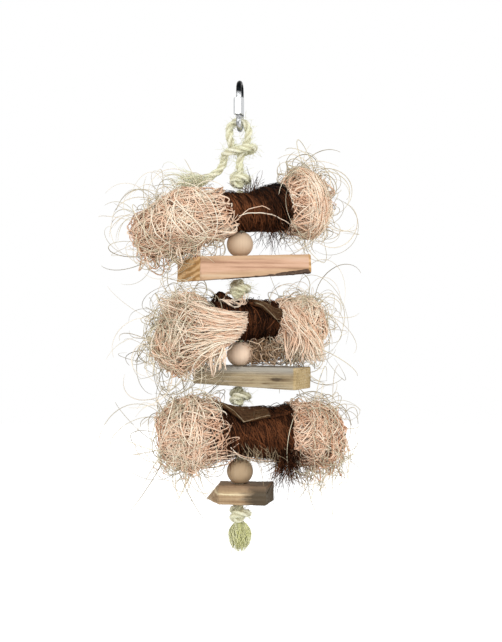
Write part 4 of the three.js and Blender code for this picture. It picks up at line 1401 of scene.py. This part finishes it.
def brush(rng, tuft, number, step):
    """The second left tuft's long strands: from blunt ends in front of the roll, nearly level and
    side by side, they fan out to the left and downwards."""
    one, _ = drawn(rng, number)
    low, deep = one(0, 1), one(0, 1)
    height = tuft["roll"]["height"]
    blunt = 6.5 - 15 * low**2 - one(0, 1) ** 2 * 10
    start = xyz(blunt, -18 - 6 * deep, height + 3 - 21 * low + one(-3, 3))
    left, back = one(-62, -40) + 13 * low, -9 - 26 * deep + one(-5, 5)
    end = xyz(left, back, height + 16 - 50 * low + one(-9, 9))
    left, back = one(-27, -19), -19 - 11 * deep + one(-2, 2)
    middle = xyz(left, back, height + 7 - 32 * low + one(-4, 4))
    # Painted shade: strands further back get a lower share, so a darker tone.
    return arched(start, middle, end, step), 0.62 + 0.42 * deep[:, 0]


def trailing(rng, tuft, number, step):
    """A few long pale strands that hang from the second left tuft in front of the slat's end."""
    one, _ = drawn(rng, number)
    start = xyz(one(-24, -9), one(-25, -20), tuft["roll"]["height"] - one(14, 24))
    end = start + xyz(one(-9, 4), one(-3, 1), one(-22, -11))
    middle = (start + end) / 2 + xyz(one(-3, 3), one(-3, -1), one(-1, 1))
    return arched(start, middle, end, step), np.full(number, 1.05)


def draping(rng, tuft, number, step):
    """A skirt of strands at the second right tuft: from the front of the roll's rim they fall
    outwards and down to the slat."""
    one, _ = drawn(rng, number)
    height = tuft["roll"]["height"]
    start = xyz(one(31, 42), one(-12, 2), height + one(-9, 15))
    end = xyz(one(34, 66), one(-16, 16), height - one(18, 33))
    middle = (start + end) / 2 + xyz(one(-2, 7), one(-5, -1), one(-2, 5))
    return arched(start, middle, end, step), np.full(number, 0.95)


def curling(rng, tuft, number, step):
    """Slack curls of the left tuft that lie over the hollow in the roll."""
    one, _ = drawn(rng, number)
    about = one(0, TURN) + one(3, 6) * step
    at = one(-11, -6) + one(6, 11) * np.cos(about)
    degrees = one(58, 74) + one(16, 34) * np.sin(about)
    lift = one(3, 5) + one(0.5, 2) * np.sin(2 * about)
    return over_roll(tuft["roll"], at, degrees, lift), np.full(number, 1.1)


def drooping(rng, tuft, number, step):
    """Slack strands under the tuft: most hang in a loop between two places of its skin, and the
    others end in the air."""
    one, some = drawn(rng, number)
    t, angle = one(0.35, 1.0), one(-2.4, -0.7)
    start = in_tuft(tuft, t, one(0.75, 1.0), angle)
    back = in_tuft(tuft, np.clip(t + some(0.3), 0, 1), one(0.7, 1.0), angle + some(0.8))
    fall = one(0.15, 1) * tuft["droop"]
    free = start + xyz(some(5) - 2, some(4), -fall)
    end = np.where(one(0, 1)[..., None] < 0.25, free, back)
    middle = (start + end) / 2 + xyz(some(2.5), some(2.5), -0.7 * fall)
    return arched(start, middle, end, step), np.full(number, 0.92)


def crossing_roll(rng, tuft, number, step):
    """Strands that have strayed from the left tuft across the front of the roll."""
    one, _ = drawn(rng, number)
    first, last, *degrees = tuft["crossing_at"]
    at = [first + one(-4, 4), (first + last) / 2 + one(-4, 4), last + one(-6, 4)]
    points = [
        over_roll(tuft["roll"], along, angle + one(-9, 9), lift + one(-0.5, 1))
        for along, angle, lift in zip(at, degrees, (2, 4, 2))
    ]
    return arched(*points, step), np.full(number, 1.1)


def hanging(rng, tuft, number, step):
    """Strands that come over the top of the tuft and hang down in front of it and behind it."""
    one, _ = drawn(rng, number)
    t, share = one(-0.1, 0.55), np.sqrt(one(0.5, 1.0))
    along = t + one(0.15, 0.5)
    high, low = one(0.2, 1.5), one(-1.6, -0.3)
    back = one(0, 1) < 0.4
    angles = [np.where(back, np.pi - angle, angle) for angle in (high, (high + low) / 2, low)]
    start = in_tuft(tuft, t, share, angles[0])
    middle = in_tuft(tuft, (t + along) / 2, share * one(0.97, 1.08), angles[1])
    end = in_tuft(tuft, along, share + one(-0.05, 0.22), angles[2])
    return arched(start, middle, end, step), share[:, 0]


def wispy(rng, tuft, number, step, low, high, size, bends):
    """Thin wisps: each leaves the tuft's skin on a slack spiral, a circle of random size that
    bends back to the tuft and drifts along its own axis, drawn in to stay between two corners."""
    one, _ = drawn(rng, number)
    front = 0 if tuft["side"] > 0 else np.pi
    t = one(0.2, 1.0)
    angle = front + np.where(one(0, 1) < 0.15, one(0, TURN), one(0.8, TURN - 0.8))
    start = in_tuft(tuft, t, one(0.85, 1.0), angle)
    out = unit(start - in_tuft(tuft, t, 0 * t, angle))
    way = unit(out + rng.normal(0, 0.75, out.shape))
    axis = unit(np.cross(way, rng.normal(0, 0.8, way.shape) - 0.6 * out))
    side = np.cross(axis, way)
    radius = one(*size)[..., None]
    bend = (one(*bends) * step)[..., None]
    away = radius * (np.sin(bend) * way + (1 - np.cos(bend)) * side)
    away = away + axis * (one(-9, 9) * step)[..., None]
    away = away + (0, 0, -1) * (one(0, tuft["fall"]) * step**2)[..., None]
    room = np.where(away > 0, high - start, start - low)
    tight = (room / np.maximum(np.abs(away), 1e-6)).min(axis=(1, 2))
    return start + away * np.clip(tight, 0, 1)[:, None, None]


# The courses that a strand of wool can take, in the order in which they are drawn, and two kinds of
# wisps: the radius of their spiral, and how far they go round it.
# Each course also gives a share for how deep its strands lie: painted shade in the tuft.
COURSES = (
    lying, flowing, wound, coiled, capping, lapping, brush, trailing, draping, curling, drooping,
    crossing_roll, hanging,
)
LONG_WISPS = {"size": (10, 27), "bends": (1.2, 4.4)}
SHORT_WISPS = {"size": (3, 12), "bends": (1.6, 6)}


class ChewToyWool(bpy.types.Operator):
    """Make the six tufts of wood wool"""

    bl_idname = "chew_toy.wool"
    bl_label = "Wood wool"

    def execute(self, context):
        settings = context.scene.chew_wool
        low, high = (np.array(corner) / MM for corner in solids_box)
        spare = ROOM_TAKEN * (ROOM_SHARE * (high - low) + ROOM)
        self.low, self.high = low - spare, high + spare
        for number, tier in enumerate(TIERS, 1):
            for side, word in ((-1, "left"), (1, "right")):
                rng = np.random.default_rng(100 * number + side)
                tuft = tuft_of(tier, side)
                self.tuft(rng, number, tuft, word, settings)
                self.packed(number, tuft, word, known(wool_core, settings))
                self.wisps(rng, number, tuft, word, known(wool_wisp, settings))
        return {"FINISHED"}

    def tuft(self, rng, number, tuft, word, settings):
        """All strands of a tuft. The deeper a strand lies, the darker it is: painted shade."""
        step = np.linspace(0, 1, 13)[None]
        parts = [
            course(rng, tuft, int(tuft[course.__name__] * settings.fullness), step)
            for course in COURSES if course.__name__ in tuft
        ]
        paths = np.concatenate([path for path, _ in parts])
        depth = np.concatenate([share for _, share in parts])
        one, _ = drawn(rng, len(paths))
        paths = paths + 0.8 * np.stack([ripple(paths, 17, k + number) for k in range(3)], axis=-1)
        curl = rng.gamma(1.2, 0.35, (len(paths), 1, 1)) * unit(rng.normal(size=(len(paths), 1, 3)))
        waving = np.sin(one(4, 13) * step + one(0, TURN))[..., None]
        paths = np.clip(paths + curl * waving, self.low, self.high)
        width = settings.width / MM * rng.uniform(0.55, 1.3, len(paths))
        # Painted shade: the tone falls with the share that tells how deep a strand lies.
        tone = 0.3 + tuft["tone"] + 1.2 * (depth - 0.65) + rng.normal(0, 0.2, len(paths))
        strands(
            f"{word}_wool_{number}", paths, width, tone, known(wool_strand, settings),
            f"roll_{number}", "wood_wool", (f"{word}_tuft_{number}",),
        )

    def packed(self, number, tuft, word, material):
        """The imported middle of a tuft: its own form at two thirds of its swelling, with lumps."""
        t = np.concatenate([[-0.25, -0.1], np.linspace(0.0, 0.97, 26)])[:, None]
        t, angle = np.broadcast_arrays(t, round_turn(40))
        share = 0.64 * np.sqrt(np.clip(1 - (np.clip(t, 0.8, 1) - 0.8) ** 2 / 0.032, 0.02, 1))
        lumps = 1 + 0.12 * ripple(in_tuft(tuft, t, share, angle), 9, 3)
        points = in_tuft(tuft, t, share * lumps, angle)
        surface(
            f"{word}_wool_core_{number}", points[None], material, f"roll_{number}", "wood_wool"
        )

    def wisps(self, rng, number, tuft, word, material):
        """Long and short wisps, which stay inside the room round the solids and beside the roll."""
        step = np.linspace(0, 1, 20)[None]
        low, high = self.low.copy(), self.high.copy()
        inner = tuft["side"] * max(CLEAR_OF_BEADS, abs(tuft["mouth"][0]) - 10)
        (high if tuft["side"] < 0 else low)[0] = inner
        paths = np.concatenate(
            [
                wispy(rng, tuft, many, step, low, high, **shape)
                for many, shape in zip(tuft["wisps"], (LONG_WISPS, SHORT_WISPS))
            ]
        )
        width, tone = rng.uniform(0.38, 0.8, len(paths)), rng.uniform(0.05, 0.95, len(paths))
        strands(
            f"{word}_wool_wisps_{number}", paths, width, tone, material, f"roll_{number}",
            "wood_wool", taper=0.6,
        )


# WOOD


class ChewToyBeads(bpy.types.Operator):
    """Make the three turned beads"""

    bl_idname = "chew_toy.beads"
    bl_label = "Beads"

    def execute(self, context):
        made = known(bead_wood, context.scene.chew_wood)
        turn = round_turn(96)[:, None]
        first = np.arcsin((HOLE + HOLE_BEVEL) / BEAD)
        polar = np.linspace(first, np.pi - first, 44)
        rim = BEAD * np.cos(first) - HOLE_INSET
        mouth = HOLE + HOLE_FLARE
        radius = np.concatenate([BEAD * np.sin(polar), [mouth, HOLE, HOLE, mouth]])
        bore = [-rim, HOLE_BEVEL - rim, rim - HOLE_BEVEL, rim]
        height = np.concatenate([BEAD * np.cos(polar), bore])
        for number, tier in enumerate(TIERS, 1):
            out = radius * (1 + 0.004 * np.sin(2 * turn + number))
            points = xyz(out * np.cos(turn), out * np.sin(turn), tier["bead"] + height)
            surface(
                f"turned_bead_{number}", points[None], made, f"bead_{number}", "turned_wood",
                (f"bead_{number}",), ring=True, tan=np.full(points.shape[:2], tier["bead_tan"]),
            )
        return {"FINISHED"}


def slat_corners(slat):
    """The four upper and the four lower corners, from the front left one anticlockwise. The ends
    are cut askew, the upper face rises to the right, and the thickness changes along it."""
    left, right = -slat["left"], slat["right"]
    x = np.array([left, right, right + slat["cuts"][1], left - slat["cuts"][0]], float)
    y = -slat["front"] + np.array([0, 0, slat["depth"], slat["depth"]], float)
    low_x = x - np.array([0, 0, 0, slat["toe"]])
    thick = np.array(slat["thick"])[[0, 1, 1, 0]]
    upper = xyz(x, y, slat["top"] + slat["rise"] * x / right)
    return upper, xyz(low_x, y, slat["top"] + slat["rise"] * low_x / right - thick)


def outline(corners):
    """A closed line round four corners: straight sides, and a parabola across each corner."""
    after, before = (unit(np.roll(corners, way, axis=0) - corners) for way in (-1, 1))
    arrive, leave = corners + SLAT_EDGE * before, corners + SLAT_EDGE * after
    u = np.linspace(0, 1, 7)[None, :, None]
    bend = parabola(arrive[:, None], corners[:, None], leave[:, None], u)
    v = np.linspace(0, 1, SLAT_STEPS + 1, endpoint=False)[None, 1:, None]
    side = between(leave[:, None], np.roll(arrive, -1, axis=0)[:, None], v)
    return np.concatenate([bend, side], axis=1).reshape(-1, 3)


def turned(points, angle):
    """Points turned about the rope."""
    c, s = np.cos(angle), np.sin(angle)
    return points @ np.array([[c, s, 0], [-s, c, 0], [0, 0, 1]])


class ChewToySlats(bpy.types.Operator):
    """Make the three rough slats, and the bark on the first one"""

    bl_idname = "chew_toy.slats"
    bl_label = "Slats"

    def execute(self, context):
        settings = context.scene.chew_wood
        woods = [("fresh_wood", fresh_slat), ("weathered_wood", grey_slat), ("brown_wood", brown_slat)]
        turns = [np.radians(tier["slat"]["turn"]) for tier in TIERS]
        for number, (tier, turn, (slot, make)) in enumerate(zip(TIERS, turns, woods), 1):
            self.slat(number, tier["slat"], known(make, settings, (0, 0, -turn)), slot, turn)
        self.bark(TIERS[0]["slat"], known(bark_skin, settings, (0, 0, -turns[0])), turns[0])
        return {"FINISHED"}

    def slat(self, number, slat, material, slot, turn):
        """A ring round the rope's hole. Its section is carried round the outline: over the upper
        face, down the side with softened edges, back under the lower face and up the hole."""
        top, bottom = (outline(corners) for corners in slat_corners(slat))
        way = unit(top * (1, 1, 0))
        thick = (top - bottom)[:, 2].mean()
        hole_top = way * HOLE + (0, 0, slat["top"])
        hole_low = way * HOLE + (0, 0, slat["top"] - thick)
        inward = -unit((top - top.mean(0)) * (1, 1, 0))
        face_rings, edge_rings, side_rings = 10, len(ROUND_IN), 15
        spread = np.concatenate([np.linspace(0, 0.9, face_rings - 1), [0.97]])[None, :, None]
        over = between(hole_top[:, None], (top + inward)[:, None], spread)
        under = between(hole_low[:, None], (bottom + inward)[:, None], spread)
        round_in = inward[:, None] * np.array(ROUND_IN)[None, :, None]
        round_down = np.array(ROUND_DOWN)[None, :, None] * np.array([0, 0, 1])
        edge_top = top[:, None] + round_in - round_down
        edge_low = (bottom[:, None] + round_in + round_down)[:, ::-1]
        v = np.linspace(0, 1, side_rings + 2)[1:-1]
        side = between(edge_top[:, -1:], edge_low[:, :1], v[None, :, None])
        points = np.concatenate([over, edge_top, side, edge_low, under[:, ::-1]], axis=1)

        upper = np.ones(face_rings + edge_rings)
        height = np.concatenate([upper, 1 - v, 0 * upper])
        x = points[..., 0]
        lengthwise = (x - x.min()) / (x.max() - x.min())
        ends = np.repeat([0.0, 1.0, 0.0, 1.0], len(top) // 4)
        flat = face_rings + 1
        sawn = [flat, points.shape[1] - 2 * flat, flat]
        end_face = ends[:, None] * np.repeat([0.0, 1.0, 0.0], sawn)
        center = np.array([x.mean(), points[..., 1].mean(), slat["top"] - thick / 2])
        out = unit(points - center)
        saw = 0.16 * ripple(points * (1, 1, 0.15), 2.4, number) + 0.3 * ripple(points, 15, number + 9)
        saw = saw * (points[..., :2] ** 2).sum(-1).clip(0, 64) / 64
        chips = np.clip(ripple(points, 5, number + 20) - 0.45, 0, 1) * 1.2
        rings = [face_rings - 1, 1, edge_rings, side_rings, edge_rings, 1, face_rings - 1]
        near_edge = np.repeat([0, 0.3, 1, 0, 1, 0.3, 0], rings)
        points = points + out * (saw - chips * near_edge)[..., None]
        surface(
            f"sawn_slat_{number}", turned(points, turn)[None], material, f"slat_{number}", slot,
            (f"slat_{number}",), ring=True, height=np.broadcast_to(height, x.shape),
            lengthwise=lengthwise, end_face=end_face,
        )

    def bark(self, slat, material, turn):
        """A strip along the lower front edge: a flat, uneven ring that grows to the right."""
        _, lower = slat_corners(slat)
        share = np.linspace(BARK_START, 1.0, 90)[:, None]
        x, y, z = between(lower[0], lower[1], share).T[..., None]
        grow = np.clip((share - BARK_START) / (1 - BARK_START), 0.02, 1) ** 0.8
        grow = grow * np.sqrt(np.clip((1.0 - share) / 0.03, 0.05, 1))
        angle = round_turn(22)
        depth = 0.4 + 2.4 * grow * np.cos(angle)
        tall = 0.2 + grow * (1.9 + 2.2 * np.sin(angle))
        points = xyz(x, y + depth + 1.1, z + tall - 0.9)
        rough = 0.5 * ripple(points, 4, 77) + 0.5 * ripple(points, 9, 78)
        points = points + rough[..., None] * np.array([0, -0.7, -0.6]) * grow[..., None]
        surface(
            "bark_strip", turned(points, turn)[None, ::-1], material, "slat_1", "tree_bark",
            ("slat_bark",),
        )


# STAGE


class ChewToyStage(bpy.types.Operator):
    """Set up the camera, the light and the white floor"""

    bl_idname = "chew_toy.stage"
    bl_label = "Stage"

    def execute(self, context):
        settings = context.scene.chew_stage
        scene = context.scene
        scene.view_settings.view_transform = "Standard"
        lens = bpy.data.cameras.new("camera")
        lens.sensor_fit = "VERTICAL"
        lens.sensor_height = 24
        lens.lens = lens.sensor_height * settings.distance / settings.frame_height
        side, height = CAMERA
        at = (side, -settings.distance, height)
        scene.camera = self.put(scene, "camera", lens, at, (np.pi / 2, 0, 0))
        self.lamp(scene, "key_lamp", settings.key, 0.7, (-0.5, -0.85, 0.2), (1.15, 0, -0.53))
        self.lamp(scene, "fill_lamp", settings.fill, 0.8, (0.75, -0.6, -0.05), (1.35, 0, 0.9))
        self.sky(scene, settings)
        self.floor(scene, settings)
        return {"FINISHED"}

    def put(self, scene, name, data, at=(0, 0, 0), turn=(0, 0, 0)):
        """A new object at its place in the scene."""
        made = bpy.data.objects.new(name, data)
        made.location = at
        made.rotation_euler = turn
        scene.collection.objects.link(made)
        return made

    def lamp(self, scene, name, power, size, at, turn):
        """A square lamp."""
        light = bpy.data.lights.new(name, "AREA")
        light.energy = power
        light.size = size
        self.put(scene, name, light, at, turn)

    def sky(self, scene, settings):
        """White to the camera and in reflections, and a soft even light otherwise."""
        world = scene.world or bpy.data.worlds.new("studio")
        scene.world = world
        world.use_nodes = True
        tree = world.node_tree
        tree.nodes.clear()
        path = node(tree, "ShaderNodeLightPath").outputs
        seen = sums(tree, "MAXIMUM", path["Is Camera Ray"], path["Is Glossy Ray"])
        seen = sums(tree, "MAXIMUM", seen, path["Is Transmission Ray"])
        strength = ranged(tree, seen, 0.0, 1.0, settings.sky, 1.0)
        light = node(tree, "ShaderNodeBackground", {"Color": (1, 1, 1), "Strength": strength})
        node(tree, "ShaderNodeOutputWorld", {"Surface": light.outputs["Background"]})

    def floor(self, scene, settings):
        """A wide flat square of four faces."""
        points = [(x, y, FLOOR) for y in (-5, 0, 5) for x in (-5, 0, 5)]
        faces = [(k, k + 1, k + 4, k + 3) for k in (0, 1, 3, 4)]
        mesh = bpy.data.meshes.new("floor")
        mesh.from_pydata(points, [], faces)
        mesh.materials.append(known(stage_floor, settings))
        ground = self.put(scene, "floor", mesh)


class ChewToyPanel(bpy.types.Panel):
    """Lists the steps that dress the toy"""

    bl_idname = "VIEW3D_PT_chew_toy"
    bl_label = "Chew toy"
    bl_space_type = "VIEW_3D"
    bl_region_type = "UI"
    bl_category = "Chew toy"

    def draw(self, context):
        """A button for each step, and a box for each group of settings."""
        for step in STEPS:
            self.layout.operator(step.bl_idname)
        for name in SETTINGS:
            box = self.layout.box()
            group = getattr(context.scene, name)
            for key in group.bl_rna.properties.keys():
                if key not in ("rna_type", "name"):
                    box.prop(group, key)


STEPS = (
    ChewToyStage, ChewToyTail, ChewToyRope, ChewToyTassel, ChewToyLink, ChewToyRolls, ChewToyWool,
    ChewToyBeads, ChewToySlats,
)
SETTINGS = {
    "chew_steel": SteelSettings,
    "chew_rope": RopeSettings,
    "chew_fibre": FibreSettings,
    "chew_wool": WoolSettings,
    "chew_wood": WoodSettings,
    "chew_stage": StageSettings,
}


def register():
    """Makes the classes known, and puts the settings on the scene."""
    for kind in (*SETTINGS.values(), *STEPS, ChewToyPanel):
        bpy.utils.register_class(kind)
    for name, kind in SETTINGS.items():
        setattr(bpy.types.Scene, name, PointerProperty(type=kind))


def unregister():
    """Takes the settings off the scene again, and the classes away."""
    for name in SETTINGS:
        delattr(bpy.types.Scene, name)
    for kind in reversed((*SETTINGS.values(), *STEPS, ChewToyPanel)):
        bpy.utils.unregister_class(kind)


def main():
    """Dresses the solids piece by piece."""
    register()
    bpy.ops.chew_toy.stage()
    bpy.ops.chew_toy.tail()
    bpy.ops.chew_toy.rope()
    bpy.ops.chew_toy.tassel()
    bpy.ops.chew_toy.link()
    bpy.ops.chew_toy.rolls()
    bpy.ops.chew_toy.wool()
    bpy.ops.chew_toy.beads()
    bpy.ops.chew_toy.slats()


if __name__ == "__main__":
    main()
